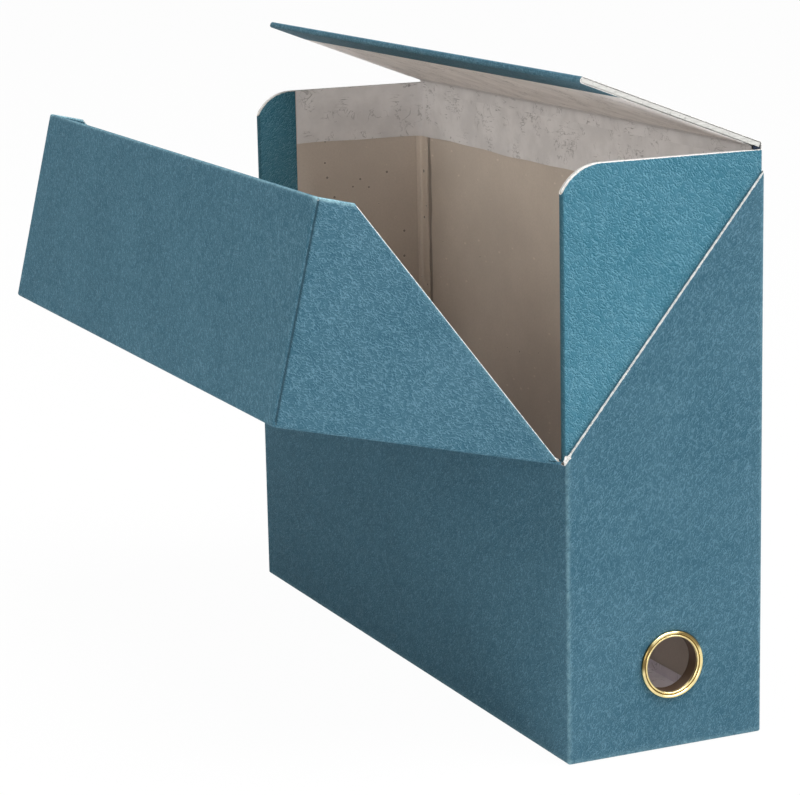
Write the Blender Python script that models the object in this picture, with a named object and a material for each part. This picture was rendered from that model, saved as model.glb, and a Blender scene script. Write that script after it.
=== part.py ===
"""Archive box of covered board for loose papers: a rigid case, a hinged hood and an inner lid.

Metres, +Z up. The origin is the centre of the underside. X runs across the
thickness, from the low front wall (-X) to the back wall (+X). Y runs from the
spine with its finger hole (-Y) to the rear end (+Y). The box stands open: the
hood is folded down in front and the lid has lifted a little on its crease.
"""

import math

import bmesh
import bpy

# Driving dimensions of the box
case_length = 0.330
case_width = 0.092
cheek_height = 0.248
hinge_height = 0.1275
hood_open = math.radians(76.5)
lid_open = math.radians(21.0)

# Sheet stock
case_board = 0.0020
shell_board = 0.0016
hood_board = 0.0016
lid_board = 0.0018
cover_paper = 0.00025
lining_paper = 0.00025
tape_paper = 0.0003

# Clearances
glue_gap = 0.00025
running_gap = 0.0003
fold_gap = 0.0003
ply_clearance = 0.00015
notch_clearance = 0.000125
cut_overrun = 0.004

# Cover and openings of the case
fold_radius = 0.0006
shell_cut_rise = 0.0015
shell_cut_drop = 0.0085
cheek_round = 0.020
cheek_round_inset = 0.018
turn_in = 0.020
band_height = 0.027
floor_turn_up = 0.005
tape_leg = 0.0028

# Hood
hood_reach = 0.0895
hood_tail = 0.016
hood_toe = 0.0008
lid_headroom = 0.0022

# Lid
lid_reach = 0.0885
lid_side_gap = 0.0006

# Eyelet of the finger hole
eyelet_height = 0.0366
eyelet_offset = 0.0025
eyelet_bore = 0.0238
eyelet_flange = 0.0292
eyelet_metal = 0.0005
eyelet_crown = 0.0013
eyelet_curl = 0.0009
eyelet_curl_reach = 0.0012
eyelet_fit = 0.0003
washer_thickness = 0.0006
washer_diameter = 0.0320
round_segments = 64
arc_segments = 14
crown_segments = 10
corner_segments = 2
weld_share = 0.01
crown_crease = math.radians(40)

# Places that follow from the sizes above
half_length = case_length / 2
half_width = case_width / 2
board_depth = cover_paper + glue_gap
shell_depth = board_depth + shell_board
cheek_face_depth = shell_depth + running_gap
cheek_board_depth = cheek_face_depth + cover_paper + glue_gap
cheek_inner_depth = cheek_board_depth + case_board
wall_inner_depth = board_depth + case_board
floor_top = board_depth + case_board
lining_step = glue_gap + lining_paper

lid_thickness = board_depth + lid_board + lining_step
lid_pivot_x = half_width
lid_pivot_z = cheek_height + running_gap + lid_thickness

hood_thickness = board_depth + hood_board
hood_pivot_x = -half_width - running_gap - hood_thickness
hood_pivot_z = hinge_height
hood_height = lid_pivot_z + lid_headroom + hood_thickness - hood_pivot_z

front_top = hinge_height - fold_gap
shell_cut_low = hinge_height + shell_cut_rise
shell_cut_high = cheek_height - shell_cut_drop
barrel_radius = eyelet_bore / 2 + eyelet_metal
hole_radius = barrel_radius + eyelet_fit


def clear_scene():
    """Remove whatever the scene holds."""
    for obj in list(bpy.data.objects):
        bpy.data.objects.remove(obj, do_unlink=True)


def make_material(name, colour, roughness, metallic=0.0):
    """Make a Principled material of one colour."""
    material = bpy.data.materials.new(name)
    material.use_nodes = True
    shader = material.node_tree.nodes["Principled BSDF"]
    shader.inputs["Base Color"].default_value = (*colour, 1.0)
    shader.inputs["Roughness"].default_value = roughness
    shader.inputs["Metallic"].default_value = metallic
    return material


def teal_paper():
    """Embossed teal covering paper."""
    return make_material("teal_paper", (0.075, 0.190, 0.255), 0.55)


def grey_board():
    """Bare greyboard, as cut."""
    return make_material("grey_board", (0.36, 0.31, 0.25), 0.9)


def pale_lining():
    """Pale lilac lining paper."""
    return make_material("pale_lining", (0.60, 0.56, 0.57), 0.8)


def tan_tape():
    """Gummed paper tape in the corners."""
    return make_material("tan_tape", (0.50, 0.42, 0.32), 0.8)


def bright_brass():
    """Polished brass of the eyelet."""
    return make_material("bright_brass", (0.78, 0.57, 0.22), 0.22, 1.0)


def link(name, mesh, material, parent=None):
    """Put a mesh into the scene under a name, with its material and its parent."""
    mesh.materials.append(material)
    obj = bpy.data.objects.new(name, mesh)
    bpy.context.scene.collection.objects.link(obj)
    obj.parent = parent
    return obj


def placed(axis, along, u, v):
    """The point at `along` on the axis; u and v fill the other two axes in X, Y, Z order."""
    if axis == "X":
        return (along, u, v)
    if axis == "Y":
        return (u, along, v)
    return (u, v, along)


def prism_mesh(name, outline, axis, low, high):
    """Extrude a closed outline of (u, v) points from low to high along an axis."""
    shape = bmesh.new()
    corners = [shape.verts.new(placed(axis, low, u, v)) for u, v in outline]
    face = shape.faces.new(corners)
    grown = bmesh.ops.extrude_face_region(shape, geom=[face])
    moved = [item for item in grown["geom"] if isinstance(item, bmesh.types.BMVert)]
    bmesh.ops.translate(shape, verts=moved, vec=placed(axis, high - low, 0.0, 0.0))
    bmesh.ops.recalc_face_normals(shape, faces=shape.faces)
    mesh = bpy.data.meshes.new(name)
    shape.to_mesh(mesh)
    shape.free()
    return mesh


def prism(name, outline, axis, low, high, material, parent=None):
    """An extruded outline as a piece of the box."""
    return link(name, prism_mesh(name, outline, axis, low, high), material, parent)


def rectangle(u_low, u_high, v_low, v_high):
    """The four corners of a rectangle."""
    return [(u_low, v_low), (u_high, v_low), (u_high, v_high), (u_low, v_high)]


def slab(name, x, y, z, material, parent=None):
    """A flat sheet or board between three pairs of faces."""
    return prism(name, rectangle(*x, *z), "Y", *y, material, parent)


def make_cutter(name, outline, axis, low, high, parent=None):
    """A hidden prism that Booleans subtract."""
    mesh = prism_mesh(name, outline, axis, low, high)
    obj = bpy.data.objects.new(name, mesh)
    bpy.context.scene.collection.objects.link(obj)
    obj.parent = parent
    obj.hide_render = True
    obj.display_type = "WIRE"
    return obj


def cut(obj, cutter):
    """Subtract a cutter from a piece."""
    modifier = obj.modifiers.new(cutter.name, "BOOLEAN")
    modifier.operation = "DIFFERENCE"
    modifier.solver = "EXACT"
    modifier.object = cutter


def smooth_round(obj, sharp_angle):
    """Shade a turned piece smooth, with its edges kept sharp."""
    obj.data.shade_smooth()
    obj.data.set_sharp_from_angle(angle=sharp_angle)


def end_span(end, near_depth, far_depth):
    """Two Y planes measured inwards from the outer face of an end: -1 is the spine, +1 the rear."""
    near = end * (half_length - near_depth)
    far = end * (half_length - far_depth)
    return min(near, far), max(near, far)


def shell_cut_at(x):
    """Height of the slanting cut of the shell, from the front edge up to the back."""
    slope = (shell_cut_high - shell_cut_low) / case_width
    return shell_cut_low + slope * (x + half_width)


def circle(centre_u, centre_v, radius, segments):
    """Points round a circle."""
    turns = [2 * math.pi * i / segments for i in range(segments)]
    return [
        (centre_u + radius * math.cos(a), centre_v + radius * math.sin(a)) for a in turns
    ]


def finger_hole_cutter():
    """The round hole through the spine that the eyelet lines."""
    outline = circle(eyelet_offset, eyelet_height, hole_radius, round_segments)
    low, high = end_span(-1, -cut_overrun, cheek_inner_depth + cut_overrun)
    return make_cutter("finger_hole_cutter", outline, "Y", low, high)


def cheek_corner_cutter(end, end_name):
    """What rounds off the upper front corner of a cheek: an arc that dies into the top edge."""
    front = -half_width
    centre_x = front + cheek_round_inset
    centre_z = cheek_height - cheek_round
    start = math.acos(-cheek_round_inset / cheek_round)
    stop = math.pi / 2
    steps = [start + (stop - start) * i / arc_segments for i in range(arc_segments + 1)]
    arc = [
        (centre_x + cheek_round * math.cos(a), centre_z + cheek_round * math.sin(a))
        for a in steps
    ]
    outside = front - cut_overrun
    above = cheek_height + cut_overrun
    outline = arc + [(centre_x, above), (outside, above), (outside, arc[0][1])]
    low, high = end_span(end, shell_depth, cheek_inner_depth + cut_overrun)
    return make_cutter(f"{end_name}_corner_cutter", outline, "Y", low, high)


def build_base(paper, board, lining):
    """Base board, the paper under it and the lining tray on it."""
    corner = rounded_rectangle(half_width, half_length, fold_radius)
    prism("base_cover_paper", corner, "Z", 0.0, cover_paper, paper)
    across = half_width - wall_inner_depth - glue_gap
    along = half_length - cheek_inner_depth - glue_gap
    slab(
        "base_board",
        (-across, across),
        (-along, along),
        (board_depth, floor_top),
        board,
    )
    build_floor_lining(across - glue_gap, along - glue_gap, lining)


def build_floor_lining(across, along, material):
    """A sheet on the floor whose rim is turned up against the walls."""
    low = floor_top + glue_gap
    shape = bmesh.new()
    corners = [
        shape.verts.new((x, y, low))
        for x, y in rectangle(-across, across, -along, along)
    ]
    floor = shape.faces.new(corners)
    rim = bmesh.ops.extrude_edge_only(shape, edges=list(floor.edges))
    moved = [item for item in rim["geom"] if isinstance(item, bmesh.types.BMVert)]
    bmesh.ops.translate(shape, verts=moved, vec=(0.0, 0.0, floor_turn_up))
    bmesh.ops.recalc_face_normals(shape, faces=shape.faces)
    mesh = bpy.data.meshes.new("floor_lining")
    shape.to_mesh(mesh)
    shape.free()
    obj = link("floor_lining", mesh, material)
    thicken(obj, lining_paper)


def thicken(obj, thickness):
    """Give an open sheet its thickness, inwards from the modelled face."""
    modifier = obj.modifiers.new("paper", "SOLIDIFY")
    modifier.thickness = thickness
    modifier.offset = -1.0
    modifier.use_even_offset = True
    modifier.use_rim = True


def rounded_rectangle(half_u, half_v, radius):
    """A rectangle about the origin with its corners turned on a small radius."""
    points = []
    for corner in range(4):
        side_u = 1 if corner in (0, 3) else -1
        side_v = 1 if corner in (0, 1) else -1
        for step in range(corner_segments + 1):
            angle = math.pi / 2 * (corner + step / corner_segments)
            u = side_u * (half_u - radius) + radius * math.cos(angle)
            v = side_v * (half_v - radius) + radius * math.sin(angle)
            points.append((u, v))
    return points


def build_back(board, lining):
    """Back wall between the cheeks, with its lining band under the lid's crease."""
    along = half_length - cheek_inner_depth - glue_gap
    outer = half_width - board_depth
    inner = outer - case_board
    slab("back_board", (inner, outer), (-along, along), (board_depth, cheek_height), board)
    slab(
        "back_lining_band",
        (inner - lining_step, inner - glue_gap),
        (-along + glue_gap, along - glue_gap),
        (cheek_height - band_height, cheek_height),
        lining,
    )


def build_front(board, paper):
    """Low front wall, and the ply of paper that carries the hood's fold."""
    along = half_length - shell_depth - glue_gap
    outer = -half_width + board_depth
    slab(
        "front_board",
        (outer, outer + case_board),
        (-along, along),
        (board_depth, front_top),
        board,
    )
    reach = half_length - board_depth - glue_gap
    ply_low = hinge_height - cover_paper / 2
    slab(
        "hood_fold_ply",
        (hood_pivot_x + ply_clearance, -half_width + cover_paper),
        (-reach, reach),
        (ply_low, ply_low + cover_paper),
        paper,
    )


def build_cheek(end, end_name, materials, hole):
    """Inner cheek of one end: a full-height board, its covering, its lining band and corner tape."""
    board, paper, lining, tape = materials
    corner = cheek_corner_cutter(end, end_name)
    front = -half_width + board_depth
    behind_wall = -half_width + wall_inner_depth + glue_gap
    back = half_width - board_depth
    outline = [
        (behind_wall, board_depth),
        (back, board_depth),
        (back, cheek_height),
        (front, cheek_height),
        (front, hinge_height),
        (behind_wall, hinge_height),
    ]
    low, high = end_span(end, cheek_board_depth, cheek_inner_depth)
    cheek = prism(f"{end_name}_cheek_board", outline, "Y", low, high, board)
    cut(cheek, corner)
    if hole is not None:
        cut(cheek, hole)
    build_cheek_paper(end, end_name, back, paper, corner)

    inside = half_width - wall_inner_depth
    low, high = end_span(
        end, cheek_inner_depth + glue_gap, cheek_inner_depth + lining_step
    )
    slab(
        f"{end_name}_lining_band",
        (-half_width + turn_in + glue_gap, inside - lining_step - glue_gap),
        (low, high),
        (cheek_height - band_height, cheek_height),
        lining,
    )
    build_corner_tape(end, end_name, inside, tape)


def build_cheek_paper(end, end_name, back, material, corner):
    """Covering of a cheek: over its outer face, round its front edge and a strip inside."""
    outer = half_length - cheek_face_depth
    skin = outer - cover_paper
    strip_outer = half_length - cheek_inner_depth - glue_gap
    strip_inner = strip_outer - cover_paper
    front = -half_width
    fold = front + cover_paper
    lip = front + turn_in
    outline = [
        (back, end * outer),
        (front, end * outer),
        (front, end * strip_inner),
        (lip, end * strip_inner),
        (lip, end * strip_outer),
        (fold, end * strip_outer),
        (fold, end * skin),
        (back, end * skin),
    ]
    low = hinge_height + fold_gap
    paper = prism(
        f"{end_name}_cheek_paper", outline, "Z", low, cheek_height, material
    )
    cut(paper, corner)


def build_corner_tape(end, end_name, inside, material):
    """A folded tape down the inner corner between a cheek and the back wall."""
    wall = half_length - cheek_inner_depth - glue_gap
    face = inside - glue_gap
    outline = [
        (face, end * wall),
        (face - tape_leg, end * wall),
        (face - tape_leg, end * (wall - tape_paper)),
        (face - tape_paper, end * (wall - tape_paper)),
        (face - tape_paper, end * (wall - tape_leg)),
        (face, end * (wall - tape_leg)),
    ]
    low = floor_top + glue_gap + floor_turn_up + glue_gap
    high = cheek_height - band_height - glue_gap
    prism(f"{end_name}_corner_tape", outline, "Z", low, high, material)


def build_shell_board(end, end_name, material, hole):
    """Outer board of one end, cut on the slant from the fold up to the back."""
    front = -half_width + board_depth
    back = half_width - board_depth
    outline = [
        (front, board_depth),
        (back, board_depth),
        (back, shell_cut_at(back)),
        (front, shell_cut_at(front)),
    ]
    low, high = end_span(end, board_depth, shell_depth)
    board = prism(f"{end_name}_shell_board", outline, "Y", low, high, material)
    if hole is not None:
        cut(board, hole)


def build_shell_cover(material, hole):
    """One sheet wrapped round the case, trimmed to the low front, the slants and the back."""
    low = board_depth
    high = lid_pivot_z - board_depth
    outline = rounded_rectangle(half_width, half_length, fold_radius)
    shape = bmesh.new()
    loop = [shape.verts.new((x, y, low)) for x, y in outline]
    edges = [
        shape.edges.new((loop[i], loop[(i + 1) % len(loop)])) for i in range(len(loop))
    ]
    wall = bmesh.ops.extrude_edge_only(shape, edges=edges)
    moved = [item for item in wall["geom"] if isinstance(item, bmesh.types.BMVert)]
    bmesh.ops.translate(shape, verts=moved, vec=(0.0, 0.0, high - low))
    bmesh.ops.recalc_face_normals(shape, faces=shape.faces)
    mesh = bpy.data.meshes.new("shell_cover_paper")
    shape.to_mesh(mesh)
    shape.free()
    cover = link("shell_cover_paper", mesh, material)
    thicken(cover, cover_paper)

    outside = -half_width - cut_overrun
    above = high + cut_overrun
    slant = [
        (outside, shell_cut_low),
        (-half_width, shell_cut_low),
        (half_width, shell_cut_high),
        (half_width + cut_overrun, shell_cut_high),
        (half_width + cut_overrun, above),
        (outside, above),
    ]
    for end, end_name in ((-1, "spine"), (1, "rear")):
        near, far = end_span(end, -cut_overrun, cheek_face_depth - glue_gap)
        cut(cover, make_cutter(f"{end_name}_slant_cutter", slant, "Y", near, far))
    across = rectangle(outside, -half_width + board_depth, front_top, above)
    along = half_length - board_depth
    cut(cover, make_cutter("low_front_cutter", across, "Y", -along, along))
    cut(cover, hole)


def eyelet_profile():
    """Half section of the eyelet as (radius, depth) points, depth counted inwards from the spine."""
    bore = eyelet_bore / 2
    rim = eyelet_flange / 2
    washer_seat = cheek_inner_depth + glue_gap
    back_face = washer_seat + washer_thickness + glue_gap
    front = rolled_edge(bore, rim, -running_gap, -eyelet_crown, eyelet_metal)
    reach = barrel_radius + eyelet_curl_reach
    back = rolled_edge(bore, reach, back_face, eyelet_curl, eyelet_metal)
    return front + list(reversed(back))


def rolled_edge(bore, rim, seat, rise, metal):
    """A flange rolled outwards over a half ellipse: its crown first, then its hollow side."""
    centre = (bore + rim) / 2
    half_span = (rim - bore) / 2
    turns = [math.pi * i / crown_segments for i in range(crown_segments + 1)]
    crown = [
        (centre - half_span * math.cos(a), seat + rise * math.sin(a)) for a in turns
    ]
    hollow_rise = rise - math.copysign(metal, rise)
    hollow = [
        (
            centre + (half_span - metal) * math.cos(a),
            seat + hollow_rise * math.sin(a),
        )
        for a in turns
    ]
    return crown + hollow


def turn(name, profile, material):
    """Revolve a closed half section about the axis of the finger hole."""
    shape = bmesh.new()
    points = [
        shape.verts.new((eyelet_offset + r, -half_length + depth, eyelet_height))
        for r, depth in profile
    ]
    edges = [
        shape.edges.new((points[i], points[(i + 1) % len(points)]))
        for i in range(len(points))
    ]
    bmesh.ops.spin(
        shape,
        geom=points + edges,
        cent=(eyelet_offset, -half_length, eyelet_height),
        axis=(0.0, 1.0, 0.0),
        angle=2 * math.pi,
        steps=round_segments,
        use_merge=True,
        use_duplicate=False,
    )
    bmesh.ops.remove_doubles(shape, verts=shape.verts, dist=weld_share * eyelet_metal)
    bmesh.ops.recalc_face_normals(shape, faces=shape.faces)
    mesh = bpy.data.meshes.new(name)
    shape.to_mesh(mesh)
    shape.free()
    obj = link(name, mesh, material)
    smooth_round(obj, crown_crease)


def build_eyelet(material):
    """Brass eyelet clenched through both spine boards, over a washer inside."""
    turn("finger_eyelet", eyelet_profile(), material)
    seat = cheek_inner_depth + glue_gap
    ring = rectangle(
        hole_radius, washer_diameter / 2, seat, seat + washer_thickness
    )
    turn("eyelet_washer", ring, material)


def make_pivot(name, x, z, turn_angle):
    """An empty on a fold line, turned about it."""
    pivot = bpy.data.objects.new(name, None)
    bpy.context.scene.collection.objects.link(pivot)
    pivot.location = (x, 0.0, z)
    pivot.rotation_euler = (0.0, turn_angle, 0.0)
    return pivot


def build_lid(paper, board, lining):
    """Inner lid, modelled closed about its crease: it reaches towards -X."""
    pivot = make_pivot("lid_pivot", lid_pivot_x, lid_pivot_z, lid_open)
    along = half_length - shell_depth - lid_side_gap
    span = (-along, along)
    tip = -lid_reach
    root = -board_depth
    board_top = -board_depth
    board_under = board_top - lid_board
    slab(
        "lid_board", (tip + board_depth, root), span, (board_under, board_top), board, pivot
    )
    under_top = board_under - glue_gap
    under = under_top - cover_paper
    lip = tip + turn_in
    outline = [
        (root, 0.0),
        (tip, 0.0),
        (tip, under),
        (lip, under),
        (lip, under_top),
        (tip + cover_paper, under_top),
        (tip + cover_paper, -cover_paper),
        (root, -cover_paper),
    ]
    prism("lid_cover_paper", outline, "Y", *span, paper, pivot)
    slab(
        "lid_lining",
        (lip + glue_gap, root),
        span,
        (under_top - lining_paper, under_top),
        lining,
        pivot,
    )


def build_hood(paper, board):
    """Hood, modelled closed about its fold: a front panel, a top panel and two slanting cheeks."""
    pivot = make_pivot("hood_pivot", hood_pivot_x, hood_pivot_z, -hood_open)
    inner_along = half_length - shell_depth - glue_gap
    span = (-inner_along, inner_along)
    top_low = hood_height - hood_thickness
    top_high = hood_height - board_depth
    far = hood_reach - board_depth
    slab(
        "hood_front_board",
        (board_depth, hood_thickness),
        span,
        (fold_gap, top_low - glue_gap),
        board,
        pivot,
    )
    slab("hood_top_board", (board_depth, far), span, (top_low, top_high), board, pivot)
    build_hood_sheet(paper, pivot, top_low)
    for end, end_name in ((-1, "spine"), (1, "rear")):
        build_hood_cheek(end, end_name, paper, board, pivot)


def build_hood_sheet(material, pivot, top_low):
    """The sheet over the front and top panels, turned in under the top panel's free edge."""
    sheet_along = half_length - board_depth
    under_top = top_low - glue_gap
    under = under_top - cover_paper
    lip = hood_reach - turn_in
    outline = [
        (0.0, fold_gap),
        (cover_paper, fold_gap),
        (cover_paper, hood_height - cover_paper),
        (hood_reach - cover_paper, hood_height - cover_paper),
        (hood_reach - cover_paper, under_top),
        (lip, under_top),
        (lip, under),
        (hood_reach, under),
        (hood_reach, hood_height),
        (0.0, hood_height),
    ]
    sheet = prism(
        "hood_cover_paper", outline, "Y", -sheet_along, sheet_along, material, pivot
    )
    notch = rectangle(
        lip - cut_overrun,
        hood_reach - board_depth + notch_clearance,
        under - cut_overrun,
        under_top + notch_clearance,
    )
    for end, end_name in ((-1, "spine"), (1, "rear")):
        near, far = end_span(end, -cut_overrun, shell_depth + glue_gap)
        cutter = make_cutter(f"hood_{end_name}_notch_cutter", notch, "Y", near, far, pivot)
        cut(sheet, cutter)


def hood_slant_at(x):
    """Height of the hood's slanting edge above its fold."""
    slope = (hood_height - hood_tail - hood_toe) / (hood_reach - board_depth)
    return hood_toe + slope * (x - board_depth)


def build_hood_cheek(end, end_name, paper, board, pivot):
    """One cheek of the hood: its board, and the sheet over it that turns round the free edge."""
    near = board_depth
    far = hood_reach - board_depth
    outline = [
        (near, hood_slant_at(near)),
        (far, hood_slant_at(far)),
        (far, hood_height - board_depth),
        (near, hood_height - board_depth),
    ]
    low, high = end_span(end, board_depth, shell_depth)
    prism(f"hood_{end_name}_board", outline, "Y", low, high, board, pivot)

    outline = [
        (0.0, hood_slant_at(near)),
        (near, hood_slant_at(near)),
        (hood_reach, hood_slant_at(hood_reach)),
        (hood_reach, hood_height),
        (0.0, hood_height),
    ]
    low, high = end_span(end, 0.0, cover_paper)
    prism(f"hood_{end_name}_paper", outline, "Y", low, high, paper, pivot)


def main():
    clear_scene()
    paper = teal_paper()
    board = grey_board()
    lining = pale_lining()
    tape = tan_tape()
    hole = finger_hole_cutter()
    build_base(paper, board, lining)
    build_back(board, lining)
    build_front(board, paper)
    for end, end_name in ((-1, "spine"), (1, "rear")):
        end_hole = hole if end < 0 else None
        build_cheek(end, end_name, (board, paper, lining, tape), end_hole)
        build_shell_board(end, end_name, board, end_hole)
    build_shell_cover(paper, hole)
    build_eyelet(bright_brass())
    build_lid(paper, board, lining)
    build_hood(paper, board)


main()
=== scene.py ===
"""Looks of an archive box of covered board: skins of embossed paper, raw board, lining and brass.

Metres, +Z up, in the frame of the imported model. X runs across the box, from the low
front wall to the back wall; Y runs along it, from the spine with its finger hole to
the rear end.
"""

import math

import bmesh
import bpy
import numpy as np
from bpy.props import FloatProperty, FloatVectorProperty, PointerProperty
from mathutils import Matrix, Vector


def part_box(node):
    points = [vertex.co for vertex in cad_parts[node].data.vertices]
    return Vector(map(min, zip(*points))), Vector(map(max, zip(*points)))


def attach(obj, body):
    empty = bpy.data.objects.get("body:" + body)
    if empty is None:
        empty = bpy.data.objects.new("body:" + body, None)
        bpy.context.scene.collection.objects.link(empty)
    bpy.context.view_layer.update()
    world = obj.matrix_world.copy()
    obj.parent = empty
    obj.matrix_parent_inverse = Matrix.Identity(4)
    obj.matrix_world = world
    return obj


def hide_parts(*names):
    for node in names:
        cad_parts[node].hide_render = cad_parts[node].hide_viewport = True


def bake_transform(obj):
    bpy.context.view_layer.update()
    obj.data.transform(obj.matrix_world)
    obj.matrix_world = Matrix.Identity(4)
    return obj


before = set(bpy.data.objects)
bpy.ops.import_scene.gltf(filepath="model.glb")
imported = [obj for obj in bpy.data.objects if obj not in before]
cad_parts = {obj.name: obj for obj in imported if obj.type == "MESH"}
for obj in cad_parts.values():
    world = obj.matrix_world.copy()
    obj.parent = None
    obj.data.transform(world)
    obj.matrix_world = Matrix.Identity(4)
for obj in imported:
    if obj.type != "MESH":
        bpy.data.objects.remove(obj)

bl_info = {
    "name": "Archive box",
    "version": (1, 0, 0),
    "blender": (4, 5, 0),
    "location": "3D View > Sidebar > Archive box",
    "description": "Covers, lines and lights an open archive box",
    "category": "Object",
}

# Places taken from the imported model
_, cover_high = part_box("shell_cover_paper")
_, cheek_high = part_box("spine_cheek_board")
half_width = float(cover_high[0])
half_length = float(cover_high[1])
cheek_top = float(cheek_high[2])
fold_height = 0.1275
hood_pivot = (-0.0484, fold_height)
hood_turn = math.radians(76.5)
hood_top = 0.1279
hood_reach = 0.0895
hood_tail = 0.016
hood_toe = 0.0008
lid_pivot = (half_width, 0.2511)
lid_turn = math.radians(21.0)
lid_reach = 0.0885
lid_under = -0.0028
lid_half_length = 0.1623
turn_in = 0.020
cut_low = fold_height + 0.0015
cut_high = cheek_top - 0.0085
cut_slope = (cut_high - cut_low) / (2 * half_width)
hole_x = 0.0025
hole_z = 0.0366

# The arc that rounds off a cheek's upper front corner
round_x, round_z, round_radius = -0.028, 0.228, 0.020

# Where the sheets meet: heights on the walls, and faces inside the case
front_trim, back_trim, lining_trim = 0.1240, 0.2460, 0.2440
cheek_outside, cheek_inside, lining_face = 0.1626, 0.1596, 0.0430
crease_reach = 0.1594
lid_start = -0.008
thin_paper = 0.0002

# Half the square of the case's sheet that gives way to the ring round the finger hole
hole_window = 0.020

# Camera fitted to the photograph: yaw, pitch and roll in degrees, place, and lens in mm
camera_turns = (24.352669412433944, 12.305656011554039, -1.1773348486848043)
camera_place = (-0.5562295150519263, -1.131238230937646, 0.3945785257717708)
camera_lens = 125.736


class BoxSizes(bpy.types.PropertyGroup):
    """Lengths of the skins that a maker may want to change."""

    cover_thickness: FloatProperty(
        name="Covering paper", description="Thickness of the covering paper",
        default=0.00025, min=0.0001, max=0.0005, precision=5, subtype="DISTANCE", unit="LENGTH",
    )
    corner_radius: FloatProperty(
        name="Corner radius", description="Radius of the upright folds of the case",
        default=0.0012, min=0.0005, max=0.003, precision=5, subtype="DISTANCE", unit="LENGTH",
    )
    foot_radius: FloatProperty(
        name="Foot radius", description="Radius of the fold round the underside",
        default=0.0008, min=0.0004, max=0.002, precision=5, subtype="DISTANCE", unit="LENGTH",
    )
    hood_radius: FloatProperty(
        name="Hood radius", description="Radius of the hood's folded edges",
        default=0.0010, min=0.0005, max=0.002, precision=5, subtype="DISTANCE", unit="LENGTH",
    )
    groove_depth: FloatProperty(
        name="Groove depth", description="Depth of the crease pressed beside the hood's edges",
        default=0.00022, min=0.0, max=0.0005, precision=5, subtype="DISTANCE", unit="LENGTH",
    )
    groove_width: FloatProperty(
        name="Groove width", description="Width of the crease pressed beside the hood's edges",
        default=0.0009, min=0.0002, max=0.003, precision=5, subtype="DISTANCE", unit="LENGTH",
    )


class BoxColours(bpy.types.PropertyGroup):
    """Colours of the papers, the board and the metal."""

    paper: FloatVectorProperty(
        name="Covering paper", description="Ground colour of the embossed covering paper",
        default=(0.064, 0.150, 0.205), size=3, min=0.0, max=1.0, subtype="COLOR",
    )
    cheek_paper: FloatVectorProperty(
        name="Cheek paper", description="Ground colour of the paper over the inner cheeks",
        default=(0.070, 0.210, 0.283), size=3, min=0.0, max=1.0, subtype="COLOR",
    )
    board: FloatVectorProperty(
        name="Greyboard", description="Ground colour of the raw board",
        default=(0.655, 0.585, 0.515), size=3, min=0.0, max=1.0, subtype="COLOR",
    )
    lining: FloatVectorProperty(
        name="Lining", description="Ground colour of the lining paper",
        default=(0.790, 0.780, 0.785), size=3, min=0.0, max=1.0, subtype="COLOR",
    )
    raw_edge: FloatVectorProperty(
        name="Raw edge", description="Colour of torn fibres along a cut edge",
        default=(0.90, 0.89, 0.86), size=3, min=0.0, max=1.0, subtype="COLOR",
    )
    brass: FloatVectorProperty(
        name="Brass", description="Colour of the eyelet",
        default=(0.93, 0.78, 0.40), size=3, min=0.0, max=1.0, subtype="COLOR",
    )


# Curves and grids


def rounded_path(corners, radii, spacing=0.008, turns=6):
    """A run of points through corners, each inner corner replaced by a tangent arc.

    A straight run is cut evenly, and finer beside its ends. An arc of radius r about a
    bend b starts r tan(b / 2) before the corner. Returns the points, the normals to the
    left of travel and the distance along the run.
    """
    corners = np.asarray(corners, float)
    steps = np.diff(corners, axis=0)
    lengths = np.linalg.norm(steps, axis=1)
    headings = np.unwrap(np.arctan2(steps[:, 1], steps[:, 0]))
    bends = np.diff(headings)
    radii = np.broadcast_to(np.asarray(radii, float), bends.shape)
    trims = np.concatenate([[0.0], radii * np.tan(np.abs(bends) / 2), [0.0]])
    points, angles = [], []
    for k, heading in enumerate(headings):
        way = np.array([math.cos(heading), math.sin(heading)])
        first = corners[k] + way * trims[k]
        last = corners[k + 1] - way * trims[k + 1]
        length = lengths[k] - trims[k] - trims[k + 1]
        parts = max(1, math.ceil(length / spacing - 1e-6))
        share = np.linspace(0.0, 1.0, parts + 1)
        if spacing > 0.0012 and length > 2.5 * spacing:
            beside = np.array([0.0005, 0.0010, 0.0018, 0.0030]) / length
            share = np.unique(np.concatenate([share, beside, 1.0 - beside]).round(9))
        share = share[:, None]
        points.append(first + share * (last - first))
        angles.append(np.full(len(share), heading))
        if k < len(bends) and trims[k + 1] > 0.0:
            side = math.copysign(1.0, bends[k])
            swing = heading + bends[k] * np.linspace(0.0, 1.0, turns + 1)[1:-1]
            centre = last + side * radii[k] * np.array([-way[1], way[0]])
            left = np.stack([-np.sin(swing), np.cos(swing)], axis=1)
            points.append(centre - side * radii[k] * left)
            angles.append(swing)
    points = np.concatenate(points)
    angles = np.concatenate(angles)
    keep = np.concatenate([[True], np.linalg.norm(np.diff(points, axis=0), axis=1) > 1e-7])
    points, angles = points[keep], angles[keep]
    normals = np.stack([-np.sin(angles), np.cos(angles)], axis=1)
    along = np.concatenate([[0.0], np.cumsum(np.linalg.norm(np.diff(points, axis=0), axis=1))])
    return points, normals, along


def near(distance, reach):
    """A mark that is 1 at a line and falls off as a bell over its reach."""
    return np.exp(-((np.asarray(distance) / reach) ** 2))


def grid(*parts):
    """Numbers whose shapes fit together, stacked side by side as one grid."""
    return np.stack(np.broadcast_arrays(*parts), axis=-1)


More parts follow.
